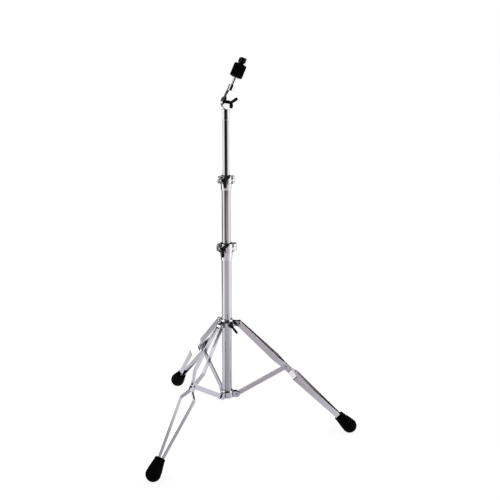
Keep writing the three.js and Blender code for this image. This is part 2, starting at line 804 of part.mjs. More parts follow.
const clampWingTurn = THREE.MathUtils.degToRad(63); // of the wings from level
stand.add(
  tubeClamp({
    name: "lower",
    bottom: lowerClampBottom,
    lowerRadius: baseTubeRadius,
    innerRadius: middleTubeRadius,
    coneHeight: lowerConeHeight,
    jawHeight: lowerJawHeight,
    ringWall: lowerRingWall,
    hingeReach: lowerHingeReach,
    knuckleRadius: lowerKnuckleRadius,
    earReach: lowerEarReach,
    earThickness: lowerEarThickness,
    screwReach: lowerScrewReach,
    screwTurn: lowerScrewTurn,
    wingSpan: lowerWingSpan,
    wingTurn: clampWingTurn,
  }),
);
stand.add(
  tubeClamp({
    name: "upper",
    bottom: upperClampBottom,
    lowerRadius: middleTubeRadius,
    innerRadius: upperTubeRadius,
    coneHeight: upperConeHeight,
    jawHeight: upperJawHeight,
    ringWall: upperRingWall,
    hingeReach: upperHingeReach,
    knuckleRadius: upperKnuckleRadius,
    earReach: upperEarReach,
    earThickness: upperEarThickness,
    screwReach: upperScrewReach,
    screwTurn: upperScrewTurn,
    wingSpan: upperWingSpan,
    wingTurn: clampWingTurn,
  }),
);

// Tilter: local +X runs along its bolt, the rod leans towards +Y
const tilter = new THREE.Group();
tilter.position.z = tilterPivotHeight;
tilter.rotation.z = tilterTurn;
stand.add(tilter);
const armBack = baseDiscFront + gap;
const armFront = armBack + armDiscThickness;

// A disc about the tilter bolt with its two rims rounded off.
function tilterDisc(radius, back, front) {
  return alongX(
    turned(
      [
        [0, back],
        [radius - tilterDiscRound, back],
        [radius, back + tilterDiscRound],
        [radius, front - tilterDiscRound],
        [radius - tilterDiscRound, front],
        [0, front],
      ],
      turnedSides,
    ),
  );
}

const boltHole = solidOf(
  alongX(roundBar(tilterBoltRadius + turningGap, -baseDiscRadius, armFront + overrun, pinSides)),
);
const socketTop = socketHeight - tilterPivotRise;
const socket = turned(
  [
    [0, -tilterPivotRise],
    [socketRadius - socketRound, -tilterPivotRise],
    [socketRadius, socketRound - tilterPivotRise],
    [socketRadius, socketTop - socketRound],
    [socketRadius - socketRound, socketTop],
    [0, socketTop],
  ],
  turnedSides,
);
const socketBore = roundBar(
  upperTubeRadius + gap,
  -tilterPivotRise - overrun,
  socketTubeDepth + gap - tilterPivotRise,
  tubeSides,
);
const web = block(
  -baseDiscBack,
  baseDiscFront,
  -tilterWebHalfWidth,
  tilterWebHalfWidth,
  socketTop - socketRound,
  -tilterWebTop,
);
const armSweep = alongX(
  roundBar(armDiscRadius + turningGap, baseDiscFront, 2 * socketRadius, turnedSides),
);
const tilterBase = solidOf(socket)
  .subtract(solidOf(armSweep))
  .add(solidOf(web))
  .add(solidOf(tilterDisc(baseDiscRadius, -baseDiscBack, baseDiscFront)))
  .subtract(solidOf(socketBore))
  .subtract(boltHole);
tilter.add(meshOf("tilter_base", geometryOf(tilterBase), chrome()));

const arm = new THREE.Group();
arm.rotation.x = -tilterAngle;
tilter.add(arm);
const neck = turned(
  [
    [0, armNeckStart],
    [armNeckRadius, armNeckStart],
    [armNeckRadius, armNeckTop - armNeckRound],
    [armNeckRadius - armNeckRound, armNeckTop],
    [0, armNeckTop],
  ],
  turnedSides,
);
const neckClear = alongX(
  roundBar(baseDiscRadius + turningGap, -armNeckRadius - overrun, armBack, turnedSides),
);
const rodHole = roundBar(rodRadius + gap, armNeckTop - rodDepthInArm, armNeckTop + overrun, pinSides);
const armBody = solidOf(neck)
  .subtract(solidOf(neckClear))
  .add(solidOf(tilterDisc(armDiscRadius, armBack, armFront)))
  .subtract(solidOf(rodHole))
  .subtract(boltHole);
arm.add(meshOf("tilter_arm", geometryOf(armBody), chrome()));

const boltReach = armFront + baseDiscBack + gap + tilterNutThickness + gap;
const tilterBolt = wingScrew(tilterHubRadius, tilterHubLength, tilterWingSpan, boltReach);
const tilterWingTurn = THREE.MathUtils.degToRad(47);
tilterBolt.rotateZ(Math.PI / 2 + tilterWingTurn);
const tilterBoltMesh = meshOf("tilter_wing_bolt", alongX(tilterBolt), blackMetal());
tilterBoltMesh.position.x = armFront + gap;
tilter.add(tilterBoltMesh);

const nutBack = -baseDiscBack - gap - tilterNutThickness;
const tilterNut = solidOf(
  roundBar(tilterNutRadius, nutBack, -baseDiscBack - gap, tilterNutSides),
).subtract(solidOf(roundBar(tilterBoltRadius + gap, nutBack - overrun, 0, pinSides)));
tilter.add(meshOf("tilter_nut", alongX(geometryOf(tilterNut)), chrome()));

// What sits on the rod, all about the rod's own axis
const onRod = new THREE.Group();
arm.add(onRod);
const sleeveBottom = seatPlace;
const lowerFeltBottom = seatPlace + seatThickness + gap;
const upperFeltBottom = lowerFeltBottom + feltThickness + gap;
const nutBottom = upperFeltBottom + feltThickness + gap;
const rodBottom = armNeckTop - rodDepthInArm + gap;
const rodTop = nutBottom + nutHeight - rodTopClear;
onRod.add(meshOf("cymbal_rod", roundBar(rodRadius, rodBottom, rodTop, turnedSides), chrome()));

const sleeveBore = rodRadius + gap;
const sleeve = turned(
  [
    [sleeveBore, sleeveBottom],
    [seatRadius, sleeveBottom],
    [seatRadius, sleeveBottom + seatThickness],
    [sleeveRadius, sleeveBottom + seatThickness],
    [sleeveRadius, sleeveBottom + sleeveLength],
    [sleeveBore, sleeveBottom + sleeveLength],
    [sleeveBore, sleeveBottom],
  ],
  turnedSides,
);
onRod.add(meshOf("cymbal_sleeve", sleeve, blackNylon()));

function felt(bottom) {
  const bore = sleeveRadius + feltBoreSlack;
  const top = bottom + feltThickness;
  return turned(
    [
      [bore, bottom],
      [feltRadius - feltEdgeRound, bottom],
      [feltRadius, bottom + feltEdgeRound],
      [feltRadius, top - feltEdgeRound],
      [feltRadius - feltEdgeRound, top],
      [bore, top],
      [bore, bottom],
    ],
    tubeSides,
  );
}
onRod.add(meshOf("lower_felt", felt(lowerFeltBottom), blackFelt()));
onRod.add(meshOf("upper_felt", felt(upperFeltBottom), blackFelt()));

// Wing nut on top: a waisted hub with two flat wings, threaded on the rod
const nutWingTurn = THREE.MathUtils.degToRad(10); // of its wings, about the rod
const nutHub = turned(
  [
    [0, 0],
    [nutNeckRadius, 0],
    [nutNeckRadius, nutNeckHeight],
    [nutBodyRadius, nutNeckHeight],
    [nutBodyRadius, nutHeight - wingHubRound],
    [nutBodyRadius - wingHubRound, nutHeight],
    [0, nutHeight],
  ],
  pinSides,
);
const nutWingBottom = nutHeight - nutWingHeight;
const nutWing = new THREE.Shape();
nutWing.moveTo(-nutNeckRadius, nutWingBottom - nutNeckHeight / 2);
nutWing.lineTo(nutNeckRadius, nutWingBottom - nutNeckHeight / 2);
nutWing.lineTo(nutWingSpan, nutWingBottom + nutWingRound);
const nutWingCorner = nutWingSpan - nutWingRound;
const nutWingCornerTop = nutHeight - nutWingRound;
nutWing.absarc(nutWingCorner, nutWingCornerTop, nutWingRound, 0, Math.PI / 2, false);
nutWing.absarc(-nutWingCorner, nutWingCornerTop, nutWingRound, Math.PI / 2, Math.PI, false);
nutWing.lineTo(-nutWingSpan, nutWingBottom + nutWingRound);
const wingNut = solidOf(nutHub)
  .add(solidOf(plateXZ(nutWing, nutWingThickness, 0)))
  .subtract(solidOf(roundBar(rodRadius + gap, -overrun, nutHeight + overrun, pinSides)));
const wingNutMesh = meshOf("top_wing_nut", geometryOf(wingNut).rotateZ(nutWingTurn), blackMetal());
wingNutMesh.position.z = nutBottom;
onRod.add(wingNutMesh);

// The origin is on the floor, under the middle of the whole stand
stand.updateMatrixWorld(true);
const middle = new THREE.Box3().setFromObject(stand).getCenter(new THREE.Vector3());
stand.position.set(-middle.x, -middle.y, 0);

export default stand;
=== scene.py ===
"""A straight chromed cymbal stand on its folding tripod, dressed for its picture on white paper."""

import math
from types import SimpleNamespace

import bmesh
import bpy
from mathutils import Matrix, Vector


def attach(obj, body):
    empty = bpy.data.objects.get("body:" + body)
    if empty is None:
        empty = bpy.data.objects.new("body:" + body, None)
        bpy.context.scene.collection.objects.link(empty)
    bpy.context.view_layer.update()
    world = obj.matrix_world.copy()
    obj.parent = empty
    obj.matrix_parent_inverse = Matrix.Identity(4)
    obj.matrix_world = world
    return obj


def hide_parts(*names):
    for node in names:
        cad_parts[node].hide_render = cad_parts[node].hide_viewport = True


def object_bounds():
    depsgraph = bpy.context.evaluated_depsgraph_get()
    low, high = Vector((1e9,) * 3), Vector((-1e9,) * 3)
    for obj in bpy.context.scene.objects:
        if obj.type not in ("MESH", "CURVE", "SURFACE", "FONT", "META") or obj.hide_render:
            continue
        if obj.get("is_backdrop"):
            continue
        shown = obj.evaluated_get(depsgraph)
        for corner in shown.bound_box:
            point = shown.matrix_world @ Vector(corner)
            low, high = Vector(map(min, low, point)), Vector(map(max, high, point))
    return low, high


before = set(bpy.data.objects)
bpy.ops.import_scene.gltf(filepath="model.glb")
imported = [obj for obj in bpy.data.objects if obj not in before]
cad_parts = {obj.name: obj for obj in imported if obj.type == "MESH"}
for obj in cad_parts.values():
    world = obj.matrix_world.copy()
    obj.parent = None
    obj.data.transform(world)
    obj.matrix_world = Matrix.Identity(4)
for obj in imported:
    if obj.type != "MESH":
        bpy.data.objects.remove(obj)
cad_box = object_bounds()

# View, paper and light
# The stand is on a sheet of white paper, seen from above and in front. A dark room in front of the paper is
# painted into the paper and the world as a painted reflection that only mirrors see, which gives upright
# chrome its dark middle; two soft boxes stand to its left and right.
scene = bpy.context.scene
scene.view_settings.view_transform = "Standard"
mast_foot = Vector((-0.077088, -0.010547, 0))
camera_place = (-0.077088, -2.794047, 1.3849)
film_width, focal_length, sight = 36, 74.117, 60
pitch, yaw, roll = math.radians(16.564), math.radians(1.3715), math.radians(0.080)

camera_data = bpy.data.cameras.new("camera")
camera_data.sensor_width = film_width
camera_data.lens = focal_length
camera_data.clip_end = sight
camera = bpy.data.objects.new("camera", camera_data)
scene.collection.objects.link(camera)
scene.camera = camera
ahead = Vector((math.sin(yaw) * math.cos(pitch), math.cos(yaw) * math.cos(pitch), -math.sin(pitch)))
level = Vector((math.cos(yaw), -math.sin(yaw), 0))
upright = level.cross(ahead)
right = level * math.cos(roll) + upright * math.sin(roll)
above = upright * math.cos(roll) - level * math.sin(roll)
turn = Matrix((right, above, -ahead)).transposed().to_4x4()
camera.matrix_world = Matrix.Translation(camera_place) @ turn


def colour(text):
    """An sRGB hex colour such as "#c0c0c0" as a linear RGBA value."""
    parts = [int(text[i : i + 2], 16) / 255 for i in (1, 3, 5)]
    return (*[c / 12.92 if c <= 0.04045 else ((c + 0.055) / 1.055) ** 2.4 for c in parts], 1)


def add(tree, kind, inputs=None, **settings):
    """Adds a node, sets its settings, and links or sets its inputs."""
    node = tree.nodes.new(kind)
    for name, value in settings.items():
        setattr(node, name, value)
    for name, value in (inputs or {}).items():
        if isinstance(value, bpy.types.NodeSocket):
            tree.links.new(value, node.inputs[name])
        else:
            node.inputs[name].default_value = value
    return node


def bare_tree(owner):
    """The node tree of a material or world, emptied."""
    owner.use_nodes = True
    owner.node_tree.nodes.clear()
    return owner.node_tree


def ramp(tree, value, stops):
    """A colour that changes with a value, through stops of (value, hex colour)."""
    first, last = stops[0][0], stops[-1][0]
    share = add(tree, "ShaderNodeMapRange", {"Value": value, "From Min": first, "From Max": last}).outputs[0]
    made = add(tree, "ShaderNodeValToRGB", {0: share})
    band = made.color_ramp.elements
    band[0].color, band[-1].color = colour(stops[0][1]), colour(stops[-1][1])
    for position, tone in stops[1:-1]:
        band.new((position - first) / (last - first)).color = colour(tone)
    return made.outputs[0]


def bearing(tree, direction):
    """A direction's bearing in degrees: 0 is the camera's side, plus is to the right, minus to the left."""
    parts = add(tree, "ShaderNodeSeparateXYZ", {0: direction}).outputs
    toward = add(tree, "ShaderNodeMath", {0: parts["Y"], 1: -1.0}, operation="MULTIPLY").outputs[0]
    angle = add(tree, "ShaderNodeMath", {0: parts["X"], 1: toward}, operation="ARCTAN2").outputs[0]
    return add(tree, "ShaderNodeMath", {0: angle}, operation="DEGREES").outputs[0]


def with_painted_mirror_shade(tree, path, light):
    """Painted shade between mirrors: light keeps only a share of itself at each mirror after the first, so
    chromed bars that face each other show darker.
    """
    kept_share = 0.2
    mirrors = add(tree, "ShaderNodeMath", {0: path["Glossy Depth"], 1: 1.0}, operation="SUBTRACT").outputs[0]
    extra = add(tree, "ShaderNodeMath", {0: mirrors, 1: 0.0}, operation="MAXIMUM").outputs[0]
    kept = add(tree, "ShaderNodeMath", {0: kept_share, 1: extra}, operation="POWER").outputs[0]
    return add(tree, "ShaderNodeVectorMath", {0: light, "Scale": kept}, operation="SCALE").outputs[0]


# Painted reflections by bearing, seen only in mirrors: a painted dark room in front, bright sides and back,
# and painted grey corners behind
white, black = "#ffffff", "#000000"
painted_bearing_stops = [
    (-180, white), (-158, "#ececee"), (-128, "#b4b4ba"), (-103, white), (-72, white), (-60, "#e0e0e0"),
    (-46, "#aaaaaa"), (-35, "#5c5c5c"), (-26, black), (24, black), (35, "#404040"), (44, "#7c7c7c"),
    (62, "#bdbdbd"), (78, "#ececec"), (90, white), (112, white), (134, "#c0bec2"), (154, "#d0ced2"),
    (168, white), (180, white),
]
painted_corner_bearings = [
    (-160, black), (-142, white), (-101, white), (-92, black), (114, black), (128, "#d0d0d0"),
    (146, "#d0d0d0"), (164, black),
]
painted_left_bearings = [(-13, white), (-4, black)]

# Painted reflection of the paper by the distance from the mast, in metres: grey painted shade near the stand,
# a painted dark room towards the camera, and painted grey corners
painted_near_shade = [(0, "#aaa8b2"), (0.5, "#b4b1ba"), (0.9, "#bdb9c0"), (1.3, "#c3bcc1"), (1.75, "#bdb5b9")]
front = painted_near_shade + [(2.1, "#a89f9f"), (2.9, "#968c8b"), (3.3, "#4a403e"), (3.7, "#141110"), (5.2, "#060505")]
painted_left_of = painted_near_shade + [(2.0, "#5c5452"), (2.9, "#3c3432"), (3.3, "#1c1817"), (5.2, "#060505")]
painted_beside_stops = [(0.1, "#c4c4cd"), (0.5, "#d6d6de"), (0.85, "#e4e4ea"), (1.15, white)]
half_way_stops = [(0.5, black), (1.4, white), (3.3, white), (3.8, black)]
painted_corner_tones = [
    (1.7, "#6a696d"), (1.82, "#454448"), (1.95, "#5c5b5f"), (2.2, "#5c5b5f"), (2.4, "#2c2b2f"),
    (2.6, "#2c2b2f"), (2.8, "#6a696d"),
]

# Paper: it shows white and takes a faint shadow. Mirrors alone see it glow with a painted reflection,
# grey near the stand and then dark towards the camera.
paper_glow, paper_reach, painted_beside_gain = 0.86, 12, 1.18
paper = bpy.data.materials.new("white seamless paper")
tree = bare_tree(paper)
path = add(tree, "ShaderNodeLightPath").outputs
place = add(tree, "ShaderNodeTexCoord").outputs["Object"]
from_mast = add(tree, "ShaderNodeVectorMath", {0: place, 1: mast_foot}, operation="SUBTRACT").outputs[0]
distance = add(tree, "ShaderNodeVectorMath", {0: from_mast}, operation="LENGTH").outputs["Value"]
painted_round_about = ramp(tree, bearing(tree, from_mast), painted_bearing_stops)
painted_left_mask = ramp(tree, bearing(tree, from_mast), painted_left_bearings)
before = add(
    tree,
    "ShaderNodeMix",
    {"Factor": painted_left_mask, 6: ramp(tree, distance, front), 7: ramp(tree, distance, painted_left_of)},
    data_type="RGBA",
).outputs[2]
beside = ramp(tree, distance, painted_beside_stops)
bright = add(tree, "ShaderNodeVectorMath", {0: beside, "Scale": painted_beside_gain}, operation="SCALE").outputs[0]
painted_lit_tone = add(tree, "ShaderNodeMix", {"Factor": painted_round_about, 6: before, 7: bright}, data_type="RGBA").outputs[2]
corner = ramp(tree, bearing(tree, from_mast), painted_corner_bearings)
half_way = ramp(tree, distance, half_way_stops)
painted_corner_tone = ramp(tree, distance, painted_corner_tones)
painted_corner_mask = add(tree, "ShaderNodeMath", {0: corner, 1: half_way}, operation="MULTIPLY").outputs[0]
seen = add(tree, "ShaderNodeMix", {"Factor": painted_corner_mask, 6: painted_lit_tone, 7: painted_corner_tone}, data_type="RGBA").outputs[2]
glow = add(tree, "ShaderNodeEmission", {"Color": colour(white), "Strength": paper_glow}).outputs[0]
matt = add(tree, "ShaderNodeBsdfDiffuse", {"Color": colour("#727272")}).outputs[0]
shown = add(tree, "ShaderNodeAddShader", {0: glow, 1: matt}).outputs[0]
# Mirrors see this painted reflection glow instead of the white paper, with painted shade between mirrors
painted_reflection_glow = add(tree, "ShaderNodeEmission", {"Color": with_painted_mirror_shade(tree, path, seen)}).outputs[0]
surface = add(tree, "ShaderNodeMixShader", {"Fac": path["Is Glossy Ray"], 1: shown, 2: painted_reflection_glow}).outputs[0]
add(tree, "ShaderNodeOutputMaterial", {"Surface": surface})
floor_mesh = bpy.data.meshes.new("paper")
floor_corners = [(x * paper_reach, y * paper_reach, 0) for x, y in ((-1, -1), (1, -1), (1, 1), (-1, 1))]
floor_mesh.from_pydata(floor_corners, [], [(0, 1, 2, 3)])
floor_mesh.materials.append(paper)
floor = bpy.data.objects.new("paper", floor_mesh)
scene.collection.objects.link(floor)
floor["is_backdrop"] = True

# Surroundings that only mirrors see, a painted reflection: painted soft boxes at both sides, a painted dark
# room in front and behind, and a painted large soft box overhead; everything else sees an even white. The
# first stops go by the height of a direction, 0 being level and 1 straight up, the second by its bearing.
painted_room_by_height = [
    (0.1, white), (0.2, "#3a393c"), (0.3, "#161518"), (0.6, "#1a191c"), (0.74, "#2c2b2e"), (0.84, "#8c8b90"),
    (1, "#a0a0a4"),
]
painted_soft_box_bearings = [
    (-180, black), (-150, black), (-124, "#4c4b4e"), (-104, "#5c5b5f"), (-90, white), (-50, white),
    (-34, black), (44, black), (62, white), (100, white), (116, black), (180, black),
]
paper_line, boxes_line, room_light = 0.1, 0.3, 0.82
world = bpy.data.worlds.new("studio")
scene.world = world
tree = bare_tree(world)
path = add(tree, "ShaderNodeLightPath").outputs
direction = add(tree, "ShaderNodeTexCoord").outputs["Generated"]
height = add(tree, "ShaderNodeSeparateXYZ", {0: direction}).outputs["Z"]
painted_by_height = ramp(tree, height, painted_room_by_height)
painted_round_about = ramp(tree, bearing(tree, direction), painted_bearing_stops)
boxes = ramp(tree, bearing(tree, direction), painted_soft_box_bearings)
room = add(
    tree, "ShaderNodeMix", {"Factor": 1.0, 6: painted_by_height, 7: boxes}, data_type="RGBA", blend_type="LIGHTEN"
).outputs[2]
lowness = {"Value": height, "From Min": boxes_line, "From Max": paper_line}
low = add(tree, "ShaderNodeMapRange", lowness).outputs[0]
painted_surroundings = add(tree, "ShaderNodeMix", {"Factor": low, 6: room, 7: painted_round_about}, data_type="RGBA").outputs[2]
straight = {0: path["Is Camera Ray"], 1: path["Is Transmission Ray"]}
plain = add(tree, "ShaderNodeMath", straight, operation="MAXIMUM").outputs[0]
level_of = add(tree, "ShaderNodeMapRange", {"Value": plain, "To Min": room_light, "To Max": 1.0}).outputs[0]
even = add(tree, "ShaderNodeBackground", {"Color": colour(white), "Strength": level_of}).outputs[0]
# The painted reflection of the studio, with painted shade between mirrors, seen only by mirrors
studio = add(tree, "ShaderNodeBackground", {"Color": with_painted_mirror_shade(tree, path, painted_surroundings)}).outputs[0]
surface = add(tree, "ShaderNodeMixShader", {"Fac": path["Is Glossy Ray"], 1: even, 2: studio}).outputs[0]
add(tree, "ShaderNodeOutputWorld", {"Surface": surface})

box_width, box_height, box_power = 1.1, 1.9, 12
box_beside, box_before, box_above, aim_above = 2.4, 0.5, 1.5, 0.5
for side, name in ((-1, "left soft box"), (1, "right soft box")):
    lamp_data = bpy.data.lights.new(name, "AREA")
    lamp_data.shape = "RECTANGLE"
    lamp_data.size, lamp_data.size_y = box_width, box_height
    lamp_data.energy = box_power
    lamp = bpy.data.objects.new(name, lamp_data)
    scene.collection.objects.link(lamp)
    place = mast_foot + Vector((side * box_beside, -box_before, box_above))
    towards_mast = mast_foot + Vector((0, 0, aim_above)) - place
    facing = towards_mast.to_track_quat("-Z", "Y").to_matrix().to_4x4()
    lamp.matrix_world = Matrix.Translation(place) @ facing
    lamp.visible_camera = False

# Tubes
# Three drawn steel tubes, 28.6, 25.4 and 19 mm across, polished and chromed. Each slides in the one below.
# From here on all sizes are in millimetres, and settle brings the finished pieces to metres.
mast = Matrix.Translation((-77.088, -10.547, 0))
metres = 0.001
per_mm = 1000
relief = 0.2 * metres
hand_marks = 34


def chrome(name, ripple, ripple_size, haze, tints):
    """Bright chrome plating: a mirror whose ripple (share) and its size (mm) come from the metal under it."""
    made = bpy.data.materials.new(name)
    nodes = bare_tree(made)
    where = add(nodes, "ShaderNodeTexCoord").outputs["Object"]
    waves = {"Vector": where, "Scale": per_mm / ripple_size, "Detail": 1.5}
    soft = add(nodes, "ShaderNodeTexNoise", waves).outputs[0]
    patches = {"Vector": where, "Scale": per_mm / hand_marks, "Detail": 5.0, "Roughness": 0.7}
    worn = add(nodes, "ShaderNodeTexNoise", patches).outputs[0]
    spread = {"Value": worn, "From Min": 0.35, "From Max": 0.75, "To Min": haze, "To Max": haze * 2.4}
    rough = add(nodes, "ShaderNodeMapRange", spread).outputs[0]
    bump = add(nodes, "ShaderNodeBump", {"Height": soft, "Strength": ripple, "Distance": relief}).outputs[0]
    shades = {"Factor": worn, 6: colour(tints[0]), 7: colour(tints[1])}
    tint = add(nodes, "ShaderNodeMix", shades, data_type="RGBA").outputs[2]
    plating = {"Base Color": tint, "Metallic": 1.0, "Roughness": rough, "Normal": bump}
    shader = add(nodes, "ShaderNodeBsdfPrincipled", plating).outputs[0]
    add(nodes, "ShaderNodeOutputMaterial", {"Surface": shader})
    return made


# Drawn tube is nearly a true mirror, with a little haze where hands and cloths have been
chromed_steel = chrome("chrome plated steel, drawn", 0.06, 14, 0.035, ("#dadadd", "#d3d4d8"))


def piece(name, points, faces):
    """A closed mesh in millimetres, in its own frame, with its faces outwards."""
    same_point = 0.0001
    mesh = bpy.data.meshes.new(name)
    mesh.from_pydata(points, [], faces)
    form = bmesh.new()
    form.from_mesh(mesh)
    bmesh.ops.remove_doubles(form, verts=form.verts, dist=same_point)
    bmesh.ops.recalc_face_normals(form, faces=form.faces)
    form.to_mesh(mesh)
    form.free()
    mesh.shade_smooth()
    made = bpy.data.objects.new(name, mesh)
    scene.collection.objects.link(made)
    return made


def eased(outline, closed):
    """An outline of (a, b) or (a, b, easing) corners, with the eased corners turned into short curves."""
    line = []
    count, steps = len(outline), 5
    for i, corner in enumerate(outline):
        ease = corner[2] if len(corner) > 2 else 0
        here = Vector(corner[:2])
        if not ease or (not closed and i in (0, count - 1)):
            line.append(here)
            continue
        before = (Vector(outline[i - 1][:2]) - here).normalized() * ease + here
        after = (Vector(outline[(i + 1) % count][:2]) - here).normalized() * ease + here
        for step in range(steps + 1):
            t = step / steps
            line.append(before * (1 - t) ** 2 + here * 2 * t * (1 - t) + after * t**2)
    return line


def turned(name, outline, sides=96):
    """A body turned about +Z from (radius, height) corners: solid if both ends are on the axis, or a ring."""
    solid = outline[0][0] == 0 and outline[-1][0] == 0
    line = eased(outline, not solid)
    points, faces = [], []
    for r, z in line:
        for i in range(sides):
            angle = 2 * math.pi * i / sides
            points.append((r * math.cos(angle), r * math.sin(angle), z))
    rows = len(line)
    for row in range(rows if not solid else rows - 1):
        a, b = row * sides, (row + 1) % rows * sides
        for i in range(sides):
            j = (i + 1) % sides
            quad = [a + i, a + j, b + j, b + i]
            if line[row][0] == 0:
                quad = [a, b + j, b + i]
            elif line[(row + 1) % rows][0] == 0:
                quad = [a + i, a + j, b]
            faces.append(quad)
    return piece(name, points, faces)


def settle(made, at, material, body, slot, *nodes):
    """Puts a finished piece at its place in metres, gives it its finish and makes it ride on its body."""
    made.data.transform(Matrix.Scale(metres, 4) @ at)
    made.data.materials.clear()
    made.data.materials.append(material)
    if nodes:
        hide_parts(*nodes)
    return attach(made, body)


def keep(node, material):
    """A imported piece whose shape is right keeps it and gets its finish."""
    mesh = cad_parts[node].data
    mesh.materials.clear()
    mesh.materials.append(material)
    for face in mesh.polygons:
        face.material_index = 0


def baked(made):
    """The piece with its modifiers turned into plain mesh."""
    bpy.context.view_layer.update()
    graph = bpy.context.evaluated_depsgraph_get()
    whole = made.evaluated_get(graph)
    mesh = bpy.data.meshes.new_from_object(whole, preserve_all_data_layers=True, depsgraph=graph)
    made.modifiers.clear()
    made.data = mesh
    return made


def true_flats(made):
    """The piece with its flat faces shaded flat where they run into curves, as a mirror finish shows them."""
    flats = made.modifiers.new("flats", "WEIGHTED_NORMAL")
    flats.weight, flats.keep_sharp = 80, True
    return baked(made)


def crisp(made, degrees=35):
    """Smooth faces that meet in a sharp line where they turn by more than the given angle."""
    made.data.shade_smooth()
    made.data.set_sharp_from_angle(angle=math.radians(degrees))
    return true_flats(made)


outer_ease, inner_ease = 0.4, 0.3
for name, body, radius, wall, bottom, top in (
    ("base_tube", "base", 14.3, 1.2, 108.4, 547.4),
    ("middle_tube", "middle_tube", 12.7, 1.2, 320, 750),
    ("upper_tube", "upper_tube", 9.525, 1.4, 550.9, 950.9),
):
    inside = radius - wall
    ends = [(radius, bottom, outer_ease), (radius, top, outer_ease)]
    ends += [(inside, top, inner_ease), (inside, bottom, inner_ease)]
    settle(crisp(turned(name + "_chromed", ends)), mast, chromed_steel, body, "chromed_steel", name)

# Brace collar
# A zinc die casting pressed on the foot of the base tube and held by a drive pin. Its three forks carry
# the braces on domed pins. It is barrel polished before plating, so that all its edges are soft.
tripod = mast @ Matrix.Rotation(math.radians(-3.5), 4, "Z")
leg_turns = {"right": 0, "front": 240, "rear": 120}
brace_pivot_height, brace_pivot_reach = 117.4, 29
brace_collar_bore, brace_collar_radius, brace_collar_low, brace_collar_high = 14.6, 18.8, -9.5, 13
lug_root, lug_height = 14.3, 18
fork_end, fork_half, slot_half, slot_end = 9, 6.6, 3.6, 47
collar_bulge, collar_rim, collar_edges = 40, 0.4, 0.55
brace_cut = 26

# A cast skin leaves the plating a little wavier and hazier than drawn tube does
chromed_casting = chrome("chrome plated zinc casting", 0.12, 7, 0.05, ("#f0f0f2", "#e8e8ec"))


def plate(name, outline, y0, y1):
    """A flat plate with its outline in the XZ plane, from y0 to y1."""
    line = eased(outline, True)
    count = len(line)
    points = [(a, y0, b) for a, b in line] + [(a, y1, b) for a, b in line]
    faces = [list(range(count)), list(range(2 * count - 1, count - 1, -1))]
    faces += [[i, (i + 1) % count, count + (i + 1) % count, count + i] for i in range(count)]
    return piece(name, points, faces)


def block(x0, x1, y0, y1, z0, z1):
    """A box between two corners, used to join or to cut with."""
    return plate("block", [(x0, z0), (x1, z0), (x1, z1), (x0, z1)], y0, y1)


def moved(made, *steps):
    """The piece after turns and shifts, applied in the order given."""
    for step in steps:
        made.data.transform(step)
    return made


def about(axis, degrees):
    """A turn about an axis."""
    return Matrix.Rotation(math.radians(degrees), 4, axis)


def shift(x=0, y=0, z=0):
    """A move without a turn."""
    return Matrix.Translation((x, y, z))


def pillar(radius, low, high, x=0.0, y=0.0, sides=64):
    """An upright round bar, used to join or to cut with."""
    return moved(turned("pillar", [(0, low), (radius, low), (radius, high), (0, high)], sides), shift(x, y))


def arc(radius, turns, x=0, y=0):
    """Points round (x, y) at the given turns in degrees."""
    return [(x + radius * math.cos(math.radians(a)), y + radius * math.sin(math.radians(a))) for a in turns]


def combined(made, how, *tools):
    """The piece joined with, cut by, or kept only inside the tools, which are used up."""
    for tool in tools:
        step = made.modifiers.new("combine", "BOOLEAN")
        step.operation, step.solver, step.object = how, "MANIFOLD", tool
        baked(made)
        bpy.data.objects.remove(tool)
    return made


def soft_edged(made, width, degrees=32, many_cuts=False):
    """The piece with its edges rounded off, as barrel polishing leaves them, and its flats kept flat.

    Many cuts leave slivers between close points, which would hold the rounding back, so they go first.
    """
    weld = 0.1 if many_cuts else 0.002
    form = bmesh.new()
    form.from_mesh(made.data)
    bmesh.ops.remove_doubles(form, verts=form.verts, dist=weld)
    bmesh.ops.dissolve_degenerate(form, dist=weld, edges=form.edges)
    bmesh.ops.delete(form, geom=[edge for edge in form.edges if edge.is_wire], context="EDGES")
    if many_cuts:
        nearly_flat = math.radians(0.5)
        bmesh.ops.dissolve_limit(form, angle_limit=nearly_flat, verts=form.verts, edges=form.edges)
    form.to_mesh(made.data)
    form.free()
    made.data.shade_smooth()
    bevel = made.modifiers.new("edges", "BEVEL")
    bevel.width, bevel.segments = width, 3
    bevel.limit_method, bevel.angle_limit = "ANGLE", math.radians(degrees)
    bevel.use_clamp_overlap = not many_cuts
    bevel.harden_normals = True
    true_flats(made)
    form = bmesh.new()
    form.from_mesh(made.data)
    bmesh.ops.dissolve_degenerate(form, dist=0.001, edges=form.edges)
    form.to_mesh(made.data)
    form.free()
    return made


def collar_ring(name, bore, radius, low, high):
    """A ring whose side bulges slightly, so that it is widest at its pivots' height."""
    first, last = (math.degrees(math.asin(end / collar_bulge)) for end in (low, high))
    steps = 12
    turns = [first + (last - first) * i / steps for i in range(steps + 1)]
    side = arc(collar_bulge, turns, radius - collar_bulge)
    low_rim = (side[0][0] - collar_rim, low, collar_rim)
    high_rim = (side[-1][0] - collar_rim, high, collar_rim)
    side = [(r, min(max(z, low + collar_rim), high - collar_rim)) for r, z in side]
    return turned(name, [(bore, low), low_rim, *side, high_rim, (bore, high)])


def lug_outline(pivot, end_radius):
    """The side of a lug that leaves the collar inside its wall and ends round about its pivot."""
    half = lug_height / 2
    return [(lug_root, -half), *arc(end_radius, range(-90, 91, 9), pivot), (lug_root, half)]


